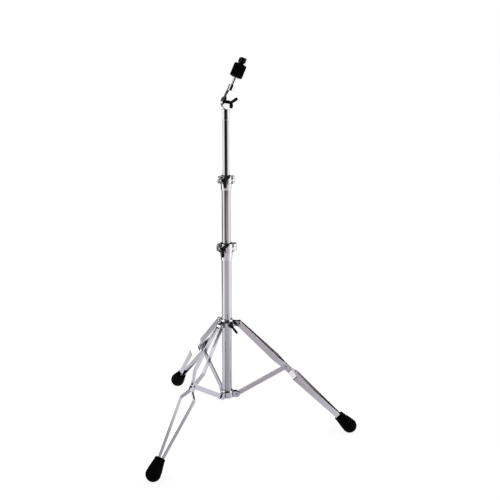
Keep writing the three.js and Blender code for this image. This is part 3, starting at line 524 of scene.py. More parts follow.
brace_collar = collar_ring(
    "brace_collar_casting", brace_collar_bore, brace_collar_radius, brace_collar_low, brace_collar_high
)
for turn_about in leg_turns.values():
    fork = plate("fork", lug_outline(brace_pivot_reach, fork_end), -fork_half, fork_half)
    fork_slot = block(brace_collar_radius, slot_end, -slot_half, slot_half, -brace_cut, brace_cut)
    combined(brace_collar, "UNION", moved(fork, about("Z", turn_about)))
    combined(brace_collar, "DIFFERENCE", moved(fork_slot, about("Z", turn_about)))
combined(brace_collar, "DIFFERENCE", pillar(brace_collar_bore, -brace_cut, brace_cut, sides=96))
soft_edged(brace_collar, collar_edges)
collar_at = tripod @ shift(z=brace_pivot_height)
settle(brace_collar, collar_at, chromed_casting, "base", "chromed_steel", "brace_collar")
keep("collar_drive_pin", chromed_steel)

# Leg collar
# The casting that slides on the base tube. Its three lugs carry the legs, and a boss between two of them
# takes the wing screw that holds it. Same alloy, polish and plating as the brace collar.
leg_pivot_height, leg_pivot_reach = 338.139, 36
leg_collar_bore, leg_collar_radius, leg_collar_half, leg_cut = 14.8, 19.2, 13.5, 27
lug_end, lug_half = 7.4, 5
boss_radius, boss_reach, boss_turn = 7, 25, -60
leg_collar = collar_ring(
    "leg_collar_casting", leg_collar_bore, leg_collar_radius, -leg_collar_half, leg_collar_half
)
for turn_about in leg_turns.values():
    lug = plate("lug", lug_outline(leg_pivot_reach, lug_end), -lug_half, lug_half)
    combined(leg_collar, "UNION", moved(lug, about("Z", turn_about)))
boss_outline = [(0, lug_root), (boss_radius, lug_root), (boss_radius, boss_reach, 0.8), (0, boss_reach)]
boss = moved(turned("boss", boss_outline, 48), about("Y", 90), about("Z", boss_turn))
combined(leg_collar, "UNION", boss)
combined(leg_collar, "DIFFERENCE", pillar(leg_collar_bore, -leg_cut, leg_cut, sides=96))
soft_edged(leg_collar, collar_edges)
collar_at = tripod @ shift(z=leg_pivot_height)
settle(leg_collar, collar_at, chromed_casting, "leg_collar", "chromed_steel", "leg_collar")

# Leg bars
# Two flat steel bars to a leg, 16 by 3 mm, pressed to shape with two bends above the brace and two below,
# then plated. They start beside the collar's lug and come together inside the rubber foot.
leg_slope = 44.3
leg_frames = {}
for name, turn_about in leg_turns.items():
    leg_pivot = tripod @ about("Z", turn_about) @ shift(leg_pivot_reach, 0, leg_pivot_height)
    leg_frames[name] = leg_pivot @ about("Y", leg_slope)
bar_width, bar_thickness, bend_radius, bar_edges = 16.0, 3.0, 9.0, 0.6
bar_corners = [(-8, 6.8), (11, 6.8), (147.5, 15.5), (180, 5), (206, 5), (229, 22.7), (402.7, 6.5), (440, 6.5)]
past_bar_end, past_bar_side, past_bar_face = 460, 9, 40

# Rolled strip is flatter than tube and polished brighter, with a slightly softer mirror
chromed_strip = chrome("chrome plated steel, rolled strip", 0.05, 20, 0.06, ("#e8e5e7", "#dfdce0"))

bar_tree = bpy.data.node_groups.new("bent flat bar", "GeometryNodeTree")
for label, kind in (
    ("Line", "NodeSocketGeometry"),
    ("Width", "NodeSocketFloat"),
    ("Thickness", "NodeSocketFloat"),
    ("Bend radius", "NodeSocketFloat"),
    ("Finish", "NodeSocketMaterial"),
):
    bar_tree.interface.new_socket(label, in_out="INPUT", socket_type=kind)
bar_tree.interface.new_socket("Bar", in_out="OUTPUT", socket_type="NodeSocketGeometry")
given = add(bar_tree, "NodeGroupInput").outputs
line = add(bar_tree, "GeometryNodeMeshToCurve", {"Mesh": given["Line"]}).outputs[0]
bent = add(bar_tree, "GeometryNodeFilletCurve", {"Curve": line, "Radius": given["Bend radius"]})
bent.mode = "POLY"
bent.inputs["Count"].default_value = 8
across = {"Width": given["Thickness"], "Height": given["Width"]}
section = add(bar_tree, "GeometryNodeCurvePrimitiveQuadrilateral", across).outputs[0]
level_line = add(bar_tree, "GeometryNodeSetCurveNormal", {"Curve": bent.outputs[0]}, mode="Z_UP").outputs[0]
sweep = {"Curve": level_line, "Profile Curve": section, "Fill Caps": True}
swept = add(bar_tree, "GeometryNodeCurveToMesh", sweep).outputs[0]
real = add(bar_tree, "GeometryNodeRealizeInstances", {"Geometry": swept}).outputs[0]
plated = {"Geometry": real, "Material": given["Finish"]}
finished = add(bar_tree, "GeometryNodeSetMaterial", plated).outputs[0]
add(bar_tree, "NodeGroupOutput", {"Bar": finished})


def with_tree(made, tree, **values):
    """The plain mesh that a node tree makes from a piece, with the tree's inputs set by name."""
    step = made.modifiers.new(tree.name, "NODES")
    step.node_group = tree
    for socket in tree.interface.items_tree:
        if socket.in_out == "INPUT" and socket.name in values:
            step[socket.identifier] = values[socket.name]
    return baked(made)


def flat_bar(name, corners):
    """A flat bar bent along (along, sideways) corners, standing on its edge."""
    points = [(x, y, 0) for x, y in corners]
    mesh = bpy.data.meshes.new(name)
    mesh.from_pydata(points, [(i, i + 1) for i in range(len(points) - 1)], [])
    made = bpy.data.objects.new(name, mesh)
    scene.collection.objects.link(made)
    sizes = {"Width": bar_width, "Thickness": bar_thickness, "Bend radius": bend_radius}
    return with_tree(made, bar_tree, Finish=chromed_strip, **sizes)


for name, at in leg_frames.items():
    for side, turn_over in (("left", 0), ("right", 180)):
        bar = flat_bar(f"{name}_leg_bar_{side}_bent", bar_corners)
        rounded = arc(bar_width / 2, range(90, 271, 6))
        rounded += [(past_bar_end, -past_bar_side), (past_bar_end, past_bar_side)]
        combined(bar, "INTERSECT", plate("round end", rounded, -past_bar_face, past_bar_face))
        moved(soft_edged(bar, bar_edges), about("X", turn_over))
        settle(bar, at, chromed_strip, f"{name}_leg", "chromed_steel", f"{name}_leg_bar_{side}")
    keep(f"{name}_leg_end_rivet", chromed_steel)

# Pins and rivets of the legs
# Each leg has a domed pin through the collar's lug and a rivet through both bars and the brace. They are
# cold headed steel, plated before they are set, so the heads are small true mirrors.
top_pin_out, top_pin_radius, top_pin_height = 8.4, 5.6, 2.8
joint_along, joint_out, joint_radius, joint_height = 190, 6.6, 4.6, 2.4

# A head of radius and height 1, which each place scales: a short cylinder and a dome, with a stem under it
head_outline = [(0, -0.2), (0.55, -0.2), (0.55, 0), (1, 0), (1, 0.3, 0.12)]
head_outline += [(0.96 * x, 0.35 + 0.65 * y) for x, y in arc(1, range(10, 90, 10))]
head_unit = crisp(turned("rivet head", [*head_outline, (0, 1)], 48), 50)
head_tree = bpy.data.node_groups.new("rivet heads", "GeometryNodeTree")
for label, kind in (
    ("Places", "NodeSocketGeometry"),
    ("Head", "NodeSocketObject"),
    ("Finish", "NodeSocketMaterial"),
):
    head_tree.interface.new_socket(label, in_out="INPUT", socket_type=kind)
head_tree.interface.new_socket("Heads", in_out="OUTPUT", socket_type="NodeSocketGeometry")
given = add(head_tree, "NodeGroupInput").outputs
facing, girth = (
    add(head_tree, "GeometryNodeInputNamedAttribute", {"Name": label}, data_type="FLOAT_VECTOR").outputs[0]
    for label in ("facing", "girth")
)
aim = add(head_tree, "FunctionNodeAlignRotationToVector", {"Vector": facing}, axis="Z").outputs[0]
head = add(head_tree, "GeometryNodeObjectInfo", {"Object": given["Head"]}).outputs["Geometry"]
at_points = {"Points": given["Places"], "Instance": head, "Rotation": aim, "Scale": girth}
placed = add(head_tree, "GeometryNodeInstanceOnPoints", at_points).outputs[0]
real = add(head_tree, "GeometryNodeRealizeInstances", {"Geometry": placed}).outputs[0]
plated = {"Geometry": real, "Material": given["Finish"]}
finished = add(head_tree, "GeometryNodeSetMaterial", plated).outputs[0]
add(head_tree, "NodeGroupOutput", {"Heads": finished})


def rivet_heads(name, places):
    """Heads at (along, out, radius, height) on both sides, by one node tree for all of a body's heads."""
    both = [(along, side, out, radius, height) for side in (1, -1) for along, out, radius, height in places]
    mesh = bpy.data.meshes.new(name)
    mesh.from_pydata([(along, side * out, 0) for along, side, out, _, _ in both], [], [])
    facings = mesh.attributes.new("facing", "FLOAT_VECTOR", "POINT")
    girths = mesh.attributes.new("girth", "FLOAT_VECTOR", "POINT")
    for i, (_, side, _, radius, height) in enumerate(both):
        facings.data[i].vector = (0, side, 0)
        girths.data[i].vector = (radius, radius, height)
    made = bpy.data.objects.new(name, mesh)
    scene.collection.objects.link(made)
    return with_tree(made, head_tree, Head=head_unit, Finish=chromed_steel)


for name, at in leg_frames.items():
    top_pin = (0, top_pin_out, top_pin_radius, top_pin_height)
    joint_rivet = (joint_along, joint_out, joint_radius, joint_height)
    settle(
        rivet_heads(f"{name}_leg_heads", [top_pin, joint_rivet]),
        at,
        chromed_steel,
        f"{name}_leg",
        "chromed_steel",
        f"{name}_leg_top_pin",
        f"{name}_leg_joint_rivet_left",
        f"{name}_leg_joint_rivet_right",
    )

# Braces
# Steel strip folded to a channel, open below, 14 mm deep and 6.4 mm wide, with both ends rounded about
# their pivots. The inner end turns on a domed pin in the brace collar's fork.
brace_length, brace_rise = 167.91, 31.62
brace_end, brace_half, brace_edges = 7.1, 3.2, 0.5
hollow_half, hollow_top, open_below, past_brace, past_below, past_side = 1.8, 5.7, -6.1, 20, -13, 9
brace_pin_out, brace_pin_radius, brace_pin_height = 6.7, 4.4, 1.7

for name, turn_about in leg_turns.items():
    pivot = tripod @ about("Z", turn_about) @ shift(brace_pivot_reach, 0, brace_pivot_height)
    long_round = arc(brace_end, range(-90, 91, 9), brace_length) + arc(brace_end, range(90, 271, 9))
    brace = soft_edged(plate(f"{name}_brace_folded", long_round, -brace_half, brace_half), brace_edges)
    start, end = -past_brace, brace_length + past_brace
    combined(brace, "DIFFERENCE", block(start, end, -hollow_half, hollow_half, past_below, hollow_top))
    combined(brace, "DIFFERENCE", block(start, end, -past_side, past_side, past_below, open_below))
    crisp(brace, 40)
    brace_at = pivot @ about("Y", -brace_rise)
    settle(brace, brace_at, chromed_strip, f"{name}_brace", "chromed_steel", f"{name}_brace")
    heads = rivet_heads(f"{name}_brace_pin_heads", [(0, brace_pin_out, brace_pin_radius, brace_pin_height)])
    settle(heads, pivot, chromed_steel, "base", "chromed_steel", f"{name}_brace_pin")
bpy.data.objects.remove(head_unit)

# Rubber feet
# Moulded black rubber, pushed over the ends of the bars. Each grows from a lip to a round end, which is
# pressed a little flat on the floor.
lip, foot_tip, ball_radius, ball_centre = 408, 476, 21.2, 454.8
pocket_half, pocket_start, pocket_end, foot_edges = 8.3, 400, 441, 0.7
foot_outline = [(0, lip), (14.4, lip, 2.2), (15.2, 411, 1.5), (15.1, 416), (15.9, 421), (17.7, 430)]
foot_outline += [(19.8, 441), *arc(ball_radius, range(-14, 90, 8), y=ball_centre), (0, foot_tip)]
floor_cut = (-400, 800, -400, 400, -400, 0)

# A sand-blasted mould leaves a dull skin. Its grain is drawn coarser than it is, so that it shows.
grain_size, dust_size = 0.8, 18
rubber = bpy.data.materials.new("black rubber, moulded")
tree = bare_tree(rubber)
where = add(tree, "ShaderNodeTexCoord").outputs["Object"]
grains = {"Vector": where, "Scale": per_mm / grain_size, "Detail": 3.0}
grain = add(tree, "ShaderNodeTexNoise", grains).outputs[0]
film = {"Vector": where, "Scale": per_mm / dust_size, "Detail": 4.0}
dust = add(tree, "ShaderNodeTexNoise", film).outputs[0]
shades = {"Factor": dust, 6: colour("#010101"), 7: colour("#030303")}
tone = add(tree, "ShaderNodeMix", shades, data_type="RGBA").outputs[2]
rough = add(tree, "ShaderNodeMapRange", {"Value": dust, "To Min": 0.6, "To Max": 0.85}).outputs[0]
bump = add(tree, "ShaderNodeBump", {"Height": grain, "Strength": 0.25, "Distance": relief}).outputs[0]
skin = {"Base Color": tone, "Roughness": rough, "IOR": 1.52, "Specular IOR Level": 0.04, "Normal": bump}
shader = add(tree, "ShaderNodeBsdfPrincipled", skin).outputs[0]
add(tree, "ShaderNodeOutputMaterial", {"Surface": shader})

for name, turn_about in leg_turns.items():
    leg_way = tripod @ about("Z", turn_about)
    at = leg_way @ shift(leg_pivot_reach, 0, leg_pivot_height) @ about("Y", leg_slope + 90)
    foot = turned(f"{name}_rubber_foot", foot_outline, 72)
    pocket = [(-pocket_half, pocket_start, 0.5), (pocket_half, pocket_start, 0.5)]
    pocket += [(pocket_half, pocket_end, 0.5), (-pocket_half, pocket_end, 0.5)]
    combined(foot, "DIFFERENCE", plate("pocket", pocket, -pocket_half, pocket_half))
    combined(foot, "DIFFERENCE", moved(block(*floor_cut), at.inverted() @ leg_way))
    soft_edged(foot, foot_edges, degrees=28)
    settle(foot, at, rubber, f"{name}_leg", "black_rubber", f"{name}_foot")

# Wing screws
# Steel screws with a cast wing head, painted gloss black over the whole head, except for the bright end of
# the shank that shows in the middle of it. One holds the leg collar, one each clamp, one the tilter.
wing_slope, wing_width, wing_thickness, wing_drop = 40, 10.4, 6.2, 3.2
hub_rim, hub_dish, dish_depth = 2.2, 2.6, 0.8
shank_radius, shank_below_top = 2.9, 0.5
mark_radius, mark_floor, mark_depth = 1.2, 1.0, 0.4
collar_wing_turn, clamp_wing_turn, tilter_wing_turn = 28, 63, 137
skin_cell, skin_smoothing, skin_keep_share = 0.3, 3, 0.6

# Stove enamel runs thick and shiny over the casting, with a faint orange peel
peel_size, wear_size = 2.2, 9
black_gloss = bpy.data.materials.new("black stove enamel on zinc")
tree = bare_tree(black_gloss)
where = add(tree, "ShaderNodeTexCoord").outputs["Object"]
orange_peel = {"Vector": where, "Scale": per_mm / peel_size, "Detail": 2.0}
peel = add(tree, "ShaderNodeTexNoise", orange_peel).outputs[0]
rubbing = {"Vector": where, "Scale": per_mm / wear_size, "Detail": 4.0}
wear = add(tree, "ShaderNodeTexNoise", rubbing).outputs[0]
rough = add(tree, "ShaderNodeMapRange", {"Value": wear, "To Min": 0.16, "To Max": 0.34}).outputs[0]
bump = add(tree, "ShaderNodeBump", {"Height": peel, "Strength": 0.12, "Distance": relief}).outputs[0]
enamel = {"Base Color": colour("#010102"), "Roughness": rough, "IOR": 1.5, "Specular IOR Level": 0.13}
shader = add(tree, "ShaderNodeBsdfPrincipled", {**enamel, "Normal": bump}).outputs[0]
add(tree, "ShaderNodeOutputMaterial", {"Surface": shader})


def wing(root_height, length):
    """A blade from the axis outwards and up, thin at its edges, wide and round at its end."""
    points, faces = [], []
    stations, around = 14, 24
    root_share, swell_share, widest_share = 0.7, 0.32, 0.78
    for i in range(stations + 1):
        t = i / stations
        along = length * math.sin(t * math.pi / 2)
        swell = root_share + swell_share * math.sin(min(1, along / (widest_share * length)) * math.pi / 2)
        cap = math.sqrt(max(0, 1 - max(0, (along - length + wing_width / 2) / (wing_width / 2)) ** 2))
        for j in range(around):
            a = 2 * math.pi * j / around
            up = math.copysign(abs(math.cos(a)) ** 0.7, math.cos(a)) * wing_width / 2 * swell * cap
            out = math.copysign(abs(math.sin(a)) ** 0.8, math.sin(a)) * wing_thickness / 2 * (0.7 + 0.3 * cap)
            points.append((along, out, up))
    for i in range(stations):
        for j in range(around):
            k = (j + 1) % around
            faces.append([i * around + j, i * around + k, (i + 1) * around + k, (i + 1) * around + j])
    faces.append(list(range(around)))
    last = stations * around
    faces.append([last + j for j in reversed(range(around))])
    return moved(piece("wing", points, faces), about("Y", -wing_slope), shift(z=root_height))


def moulded(made):
    """Overlapping bodies run together into one skin with soft inner corners, as a casting has."""
    remesh = made.modifiers.new("one skin", "REMESH")
    remesh.mode, remesh.voxel_size = "VOXEL", skin_cell
    remesh.use_smooth_shade = True
    smooth = made.modifiers.new("soft corners", "SMOOTH")
    smooth.factor, smooth.iterations = 0.5, skin_smoothing
    fewer = made.modifiers.new("fewer faces", "DECIMATE")
    fewer.ratio = skin_keep_share
    return baked(made)


def merged(name, *parts):
    """Several bodies as one object."""
    form = bmesh.new()
    for part in parts:
        form.from_mesh(part.data)
    mesh = bpy.data.meshes.new(name)
    form.to_mesh(mesh)
    form.free()
    for part in parts:
        bpy.data.objects.remove(part)
    made = bpy.data.objects.new(name, mesh)
    scene.collection.objects.link(made)
    return made


def wing_head(name, hub_radius, hub_length, span):
    """The cast head of a wing screw along +Z, standing on z = 0, with its two wings along +X and -X."""
    rim, dish, dish_floor = hub_radius - hub_rim, hub_radius - hub_dish, hub_length - dish_depth
    hub_outline = [(0, 0), (hub_radius, 0, 0.5), (hub_radius, hub_length, 1.2), (rim, hub_length, 0.3)]
    hub_outline += [(dish, dish_floor), (0, dish_floor)]
    hub = turned("hub", hub_outline, 64)
    root = hub_length - wing_drop
    length = (span - wing_drop) / math.cos(math.radians(wing_slope)) + wing_drop
    wings = [moved(wing(root, length), about("Z", side)) for side in (0, 180)]
    return moulded(merged(name, hub, *wings))


# The clamps' places and sizes, which their screws share: heights are from the clamp's foot, and hinge, ear
# and screw are distances from the tubes' axis
fit = 0.3
lower = SimpleNamespace(
    name="lower", body="base", at=mast @ shift(z=529.4) @ about("Z", 30),
    outer_tube=14.3, inner_tube=12.7, ring_wall=3.2, cone=24.6, jaw_height=24,
    hinge=23, knuckle=9.6, swing_room=3.2, ear=27, ear_deep=9, screw=20.5,
)
upper = SimpleNamespace(
    name="upper", body="middle_tube", at=mast @ shift(z=732) @ about("Z", 40),
    outer_tube=12.7, inner_tube=9.525, ring_wall=2.8, cone=18.4, jaw_height=21.5,
    hinge=20.5, knuckle=9, swing_room=3, ear=24.5, ear_deep=8, screw=18.5,
)
for clamp in (lower, upper):
    clamp.high = clamp.cone + clamp.jaw_height
    clamp.middle = clamp.cone + clamp.jaw_height / 2
    screw_seat = clamp.at @ shift(-clamp.screw, -clamp.ear_deep - fit, clamp.middle)
    clamp.screw_way = screw_seat @ about("X", 90) @ about("Z", clamp_wing_turn)

tilter_height, tilter_turn, bolt_seat = 975.9, -50, 10.6
tilter = mast @ shift(z=tilter_height) @ about("Z", tilter_turn)
tilter_way = tilter @ shift(bolt_seat) @ about("Y", 90) @ about("Z", tilter_wing_turn)
collar_boss = tripod @ about("Z", boss_turn) @ shift(boss_reach + fit, 0, leg_pivot_height)
collar_way = collar_boss @ about("Y", 90) @ about("Z", collar_wing_turn)
for name, body, node, hub_radius, hub_length, span, depth, at in (
    ("leg_collar_wing", "leg_collar_screw", "leg_collar_wing_screw", 5.4, 9, 21, 10.7, collar_way),
    ("lower_clamp_wing", "lower_screw", "lower_clamp_wing_screw", 5.4, 9, 21, 16, lower.screw_way),
    ("upper_clamp_wing", "upper_screw", "upper_clamp_wing_screw", 5.4, 9, 18.5, 16, upper.screw_way),
    ("tilter_wing", "tilter_bolt", "tilter_wing_bolt", 4.6, 16, 17, 21, tilter_way),
):
    head = wing_head(name, hub_radius, hub_length, span)
    settle(head, at, black_gloss, body, "black_metal", node)
    end = hub_length - shank_below_top
    shank_outline = [(0, -depth), (shank_radius, -depth, 0.4), (shank_radius, end, 0.5)]
    shank_outline += [(mark_radius, end, 0.2), (mark_floor, end - mark_depth), (0, end - mark_depth)]
    shank = turned(name + "_shank", shank_outline, 48)
    settle(crisp(shank), at, chromed_steel, body, "chromed_steel")

# Tube clamps
# Each is a cast body that sits on the end of the lower tube, with a hinged jaw that the wing screw pulls
# shut on a nylon bush round the inner tube. The hinge is an upright pin through three knuckles.
shoulder, bush_wall, bush_lift, bush_top = 18.3, 1.9, 0.3, 1.2
foot_wall, hinge_drop, clamp_edges = 1.3, 4, 0.5
slit_half, ear_overlap, ear_corner, rim_drop, past = 0.8, 3, 6, 0.4, 2
web_inset, root_inset, barrel_inset, knuckle_play = 0.4, 1.6, 0.35, 0.4
web_in_wall, web_side, web_short, web_short_side, web_cut_side = 1.4, 1.7, 0.1, 1.72, 1.2
ear_hang, ear_taper, taper_past, taper_height, draft_angle = 0.2, 4.6, 5, 8, 4
screw_boss, screw_boss_start, hub_seat, opened_turn = 5.9, 2, 6, 3.5
pin_bore, pin_radius, pin_head, pin_crown = 2.9, 2.6, 3.8, 2.2

# Moulded nylon is dull and even, with a trace of the mould's flow
flow_size = 1.6
nylon = bpy.data.materials.new("black nylon, moulded")
tree = bare_tree(nylon)
where = add(tree, "ShaderNodeTexCoord").outputs["Object"]
flow_lines = {"Vector": where, "Scale": per_mm / flow_size, "Detail": 2.0}
flow = add(tree, "ShaderNodeTexNoise", flow_lines).outputs[0]
rough = add(tree, "ShaderNodeMapRange", {"Value": flow, "To Min": 0.5, "To Max": 0.65}).outputs[0]
bump = add(tree, "ShaderNodeBump", {"Height": flow, "Strength": 0.1, "Distance": relief}).outputs[0]
polymer = {"Base Color": colour("#050506"), "Roughness": rough, "IOR": 1.53, "Specular IOR Level": 0.03}
shader = add(tree, "ShaderNodeBsdfPrincipled", {**polymer, "Normal": bump}).outputs[0]
add(tree, "ShaderNodeOutputMaterial", {"Surface": shader})


def prism(name, outline, low, high):
    """An upright body over an outline of (x, y) corners."""
    return moved(plate(name, [(x, -y) for x, y in outline], low, high), about("X", 90))


def knuckle_outlines(clamp):
    """The knuckles from above: tangents join them to the ring, behind on the body, in front on the jaw."""
    reach = clamp.ring - web_inset
    lean = math.asin((reach - clamp.knuckle) / clamp.hinge)
    leave = Vector((math.sin(lean), math.cos(lean)))
    in_wall = leave * (clamp.ring - root_inset)
    clear = clamp.ring + clamp.swing_room
    part_way = leave * reach + Vector((leave.y, -leave.x)) * math.sqrt(clear**2 - reach**2)
    turn_end = 90 - math.degrees(lean)
    knuckle_arc = arc(clamp.knuckle, [turn_end * i / 9 for i in range(-9, 10)], clamp.hinge)
    gap_start, gap_end = 5, math.degrees(math.atan2(-part_way.y, part_way.x))
    gap_arc = arc(clear, [gap_start + (gap_end - gap_start) * i / 8 for i in range(9)])
    web = [(clamp.ring - web_in_wall, web_side), (clear - web_short, web_short_side)]
    behind = [*web, *gap_arc, *knuckle_arc, tuple(in_wall)]
    wrap = arc(clamp.knuckle, range(82, 179, 16), clamp.hinge)
    in_front = [(in_wall.x, -in_wall.y), *knuckle_arc, *wrap]
    return behind, in_front


def ear_outline(clamp, low):
    """The side of an ear from inside the ring to its rounded end."""
    root, tip, top = -clamp.inner_tube, -clamp.ear, clamp.high - rim_drop
    return [(root, low), (tip, low, ear_corner), (tip, top, ear_corner), (root, top)]


def shell(clamp, label):
    """The clamp's solid core: a cone at the foot and a ring above it."""
    cone_top, ring_top = (clamp.ring, clamp.cone, 2.5), (clamp.ring, clamp.high, 1.0)
    return turned(label, [(0, 0), (clamp.seat + foot_wall, 0, 0.5), cone_top, ring_top, (0, clamp.high)])


def bored(clamp, casting):
    """The casting with its stepped bore: the lower tube's seat, a shoulder, and room for the bush."""
    top = clamp.high + past
    bore = [(0, -past), (clamp.seat, -past), (clamp.seat, shoulder), (clamp.bush_bore, shoulder)]
    bore += [(clamp.bush_bore, top), (0, top)]
    return combined(casting, "DIFFERENCE", turned("bore", bore))


def clamp_body(clamp, outline):
    """The half that sits on the lower tube, with the back ear and the outer two knuckles."""
    low, second, third, top = clamp.thirds
    hinge, wide, over = clamp.hinge, clamp.wide, clamp.high + past
    room = clamp.knuckle + knuckle_play
    made = shell(clamp, f"{clamp.name}_clamp_casting")
    combined(made, "UNION", plate("ear", ear_outline(clamp, clamp.cone), -ear_overlap, clamp.ear_deep))
    combined(made, "DIFFERENCE", block(-wide, wide, -wide, slit_half, clamp.cone, over))
    knuckles = prism("knuckles", outline, low, top)
    combined(knuckles, "UNION", pillar(clamp.knuckle - barrel_inset, low, top, hinge))
    combined(knuckles, "DIFFERENCE", pillar(room, second, third, hinge))
    combined(knuckles, "DIFFERENCE", block(clamp.ring + fit, wide, -wide, web_cut_side, second, third))
    combined(made, "UNION", knuckles)
    bored(clamp, made)
    combined(made, "DIFFERENCE", pillar(room, second, third, hinge))
    combined(made, "DIFFERENCE", pillar(pin_bore, 0, over, hinge, sides=32))
    return soft_edged(made, clamp_edges, many_cuts=True)


def clamp_jaw(clamp, outline):
    """The half that swings on the middle knuckle, with the front ear, drafted to leave its mould."""
    low, second, third, _ = clamp.thirds
    hinge, wide, over = clamp.hinge, clamp.wide, clamp.high + past
    room = clamp.knuckle + knuckle_play
    made = shell(clamp, f"{clamp.name}_clamp_jaw_casting")
    ear = plate("ear", ear_outline(clamp, clamp.cone - ear_hang), -clamp.ear_deep, ear_overlap)
    root, tip = -clamp.inner_tube, -clamp.ear - past
    face, beyond = -clamp.ear_deep, -clamp.ear_deep - taper_past
    taper = [(root, face), (tip, face + ear_taper), (tip, beyond), (root, beyond)]
    draft = prism("taper", taper, -taper_height, clamp.jaw_height + taper_height)
    combined(ear, "DIFFERENCE", moved(draft, about("X", -draft_angle), shift(z=clamp.cone)))
    to_screw = about("X", 90), shift(-clamp.screw, 0, clamp.middle)
    combined(ear, "UNION", moved(pillar(screw_boss, screw_boss_start, clamp.ear_deep), *to_screw))
    combined(made, "UNION", ear)
    combined(made, "DIFFERENCE", block(-wide, wide, -slit_half, wide, -past, over))
    combined(made, "DIFFERENCE", block(-wide, wide, -wide, 0, -past, clamp.cone + fit))
    combined(made, "DIFFERENCE", pillar(room, low - past, second + fit, hinge))
    combined(made, "DIFFERENCE", pillar(room, third - fit, over, hinge))
    combined(made, "UNION", prism("knuckle", outline, second + fit, third - fit))
    bored(clamp, made)
    opened = pillar(clamp.bush_bore, 0, over, sides=96)
    combined(made, "DIFFERENCE", moved(opened, shift(-hinge), about("Z", -opened_turn), shift(hinge)))
    combined(made, "DIFFERENCE", pillar(pin_bore, 0, over, hinge, sides=32))
    combined(made, "DIFFERENCE", moved(pillar(hub_seat, clamp.ear_deep, wide, sides=48), *to_screw))
    return soft_edged(made, clamp_edges, many_cuts=True)


def hinge_pin(clamp):
    """A pin with a low domed head on the top knuckle."""
    low, top = clamp.thirds[0], clamp.thirds[3]
    outline = [(0, low), (pin_radius, low, 0.3), (pin_radius, top + 0.3), (pin_head, top + 0.3)]
    outline += [(pin_head, top + 0.8, 0.5), (pin_crown, top + 1.4, 1), (0, top + 1.5)]
    return crisp(turned(f"{clamp.name}_hinge_pin", outline, 48))


def nylon_bush(clamp):
    """The bush, which stands a little proud of the clamp."""
    inside, low, top = clamp.inner_tube + fit, shoulder + bush_lift, clamp.high + bush_top
    outline = [(clamp.bush, low), (clamp.bush, top, 0.5), (inside, top, 0.3), (inside, low)]
    return crisp(turned(f"{clamp.name}_bush", outline))


for clamp in (lower, upper):
    clamp.seat = clamp.outer_tube + fit
    clamp.bush = clamp.inner_tube + fit + bush_wall
    clamp.bush_bore = clamp.bush + fit
    clamp.ring = max(clamp.seat, clamp.bush_bore) + clamp.ring_wall
    clamp.wide = clamp.hinge + clamp.knuckle + clamp.ear
    clamp.thirds = [clamp.cone - hinge_drop + i * clamp.jaw_height / 3 for i in range(4)]
    behind, in_front = knuckle_outlines(clamp)
    half = clamp_body(clamp, behind)
    settle(half, clamp.at, chromed_casting, clamp.body, "chromed_steel", f"{clamp.name}_clamp_body")
    half = clamp_jaw(clamp, in_front)
    jaw, jaw_node = f"{clamp.name}_jaw", f"{clamp.name}_clamp_jaw"
    settle(half, clamp.at, chromed_casting, jaw, "chromed_steel", jaw_node)
    pin_at, pin_node = clamp.at @ shift(clamp.hinge), f"{clamp.name}_clamp_hinge_pin"
    settle(hinge_pin(clamp), pin_at, chromed_steel, clamp.body, "chromed_steel", pin_node)
    bush_body, bush_node = f"{clamp.name}_bush", f"{clamp.name}_clamp_bush"
    settle(nylon_bush(clamp), clamp.at, nylon, bush_body, "black_nylon", bush_node)

# Tilter
# Two castings that meet on toothed faces round one bolt: the base, whose socket is on the top tube, and
# the arm, whose large flat disc faces the wing. Both are polished and plated.
socket_radius, socket_foot, socket_top, socket_edges = 11, -49, -20, 0.6
tube_bore, tube_stop = 9.825, -24.7
disc_radius, disc_back, disc_face = 14.5, -5.5, 2
web_back, web_half, web_low, web_high = -5.5, 9.5, -21.5, -6
sweep_radius, sweep_end = 20.4, 22
socket_outline = [(0, socket_foot), (socket_radius, socket_foot, 1.2), (socket_radius, socket_top, 1.2)]
socket = turned("tilter_base_casting", [*socket_outline, (0, socket_top)], 72)
combined(socket, "DIFFERENCE", moved(pillar(sweep_radius, disc_face, sweep_end, sides=96), about("Y", 90)))
combined(socket, "UNION", block(web_back, disc_face, -web_half, web_half, web_low, web_high))
disc_outline = [(0, disc_back), (disc_radius, disc_back, 1.4), (disc_radius, disc_face, 0.8), (0, disc_face)]
combined(socket, "UNION", moved(turned("disc", disc_outline, 96), about("Y", 90)))
combined(socket, "DIFFERENCE", pillar(tube_bore, socket_foot - past, tube_stop, sides=96))
soft_edged(socket, socket_edges, many_cuts=True)
settle(socket, tilter, chromed_casting, "upper_tube", "chromed_steel", "tilter_base")

rod_lean = 29.6
rod_way = tilter @ about("X", -rod_lean)
arm_radius, arm_start, arm_end, arm_ease, arm_edges = 9.5, 12, 48.7, 1.6, 0.6
arm_disc, arm_disc_back, arm_disc_front = 20, -10.3, -2.3
drop_half, drop_aim, drop_top = 9.2, 9.8, 30
neck_low_half, neck_high_half, neck_top = 9.6, 9, 28.5
neck_back, neck_front = -10, 4.5
disc_room, disc_room_start, disc_room_end = 14.9, -12, 2.3
rod_bore, rod_stop, past_arm = 4.3, 26.7, 51
arm_outline = [(0, arm_start), (arm_radius, arm_start), (arm_radius, arm_end, arm_ease), (0, arm_end)]
arm = turned("tilter_arm_casting", arm_outline, 72)
lean = math.degrees(math.asin((arm_disc - drop_aim) / drop_top))
teardrop = [(-x, z) for x, z in arc(arm_disc, range(int(lean) - 180, int(-lean) + 1, 5))]
teardrop += [(-drop_half, drop_top, 1.5), (drop_half, drop_top, 1.5)]
neck = [(-neck_low_half, arm_start), (neck_low_half, arm_start), (neck_high_half, neck_top, 1)]
neck += [(-neck_high_half, neck_top, 1)]
combined(arm, "UNION", moved(plate("blade", teardrop, arm_disc_back, arm_disc_front), about("Z", 90)))
combined(arm, "UNION", moved(plate("neck", neck, neck_back, neck_front), about("Z", 90)))
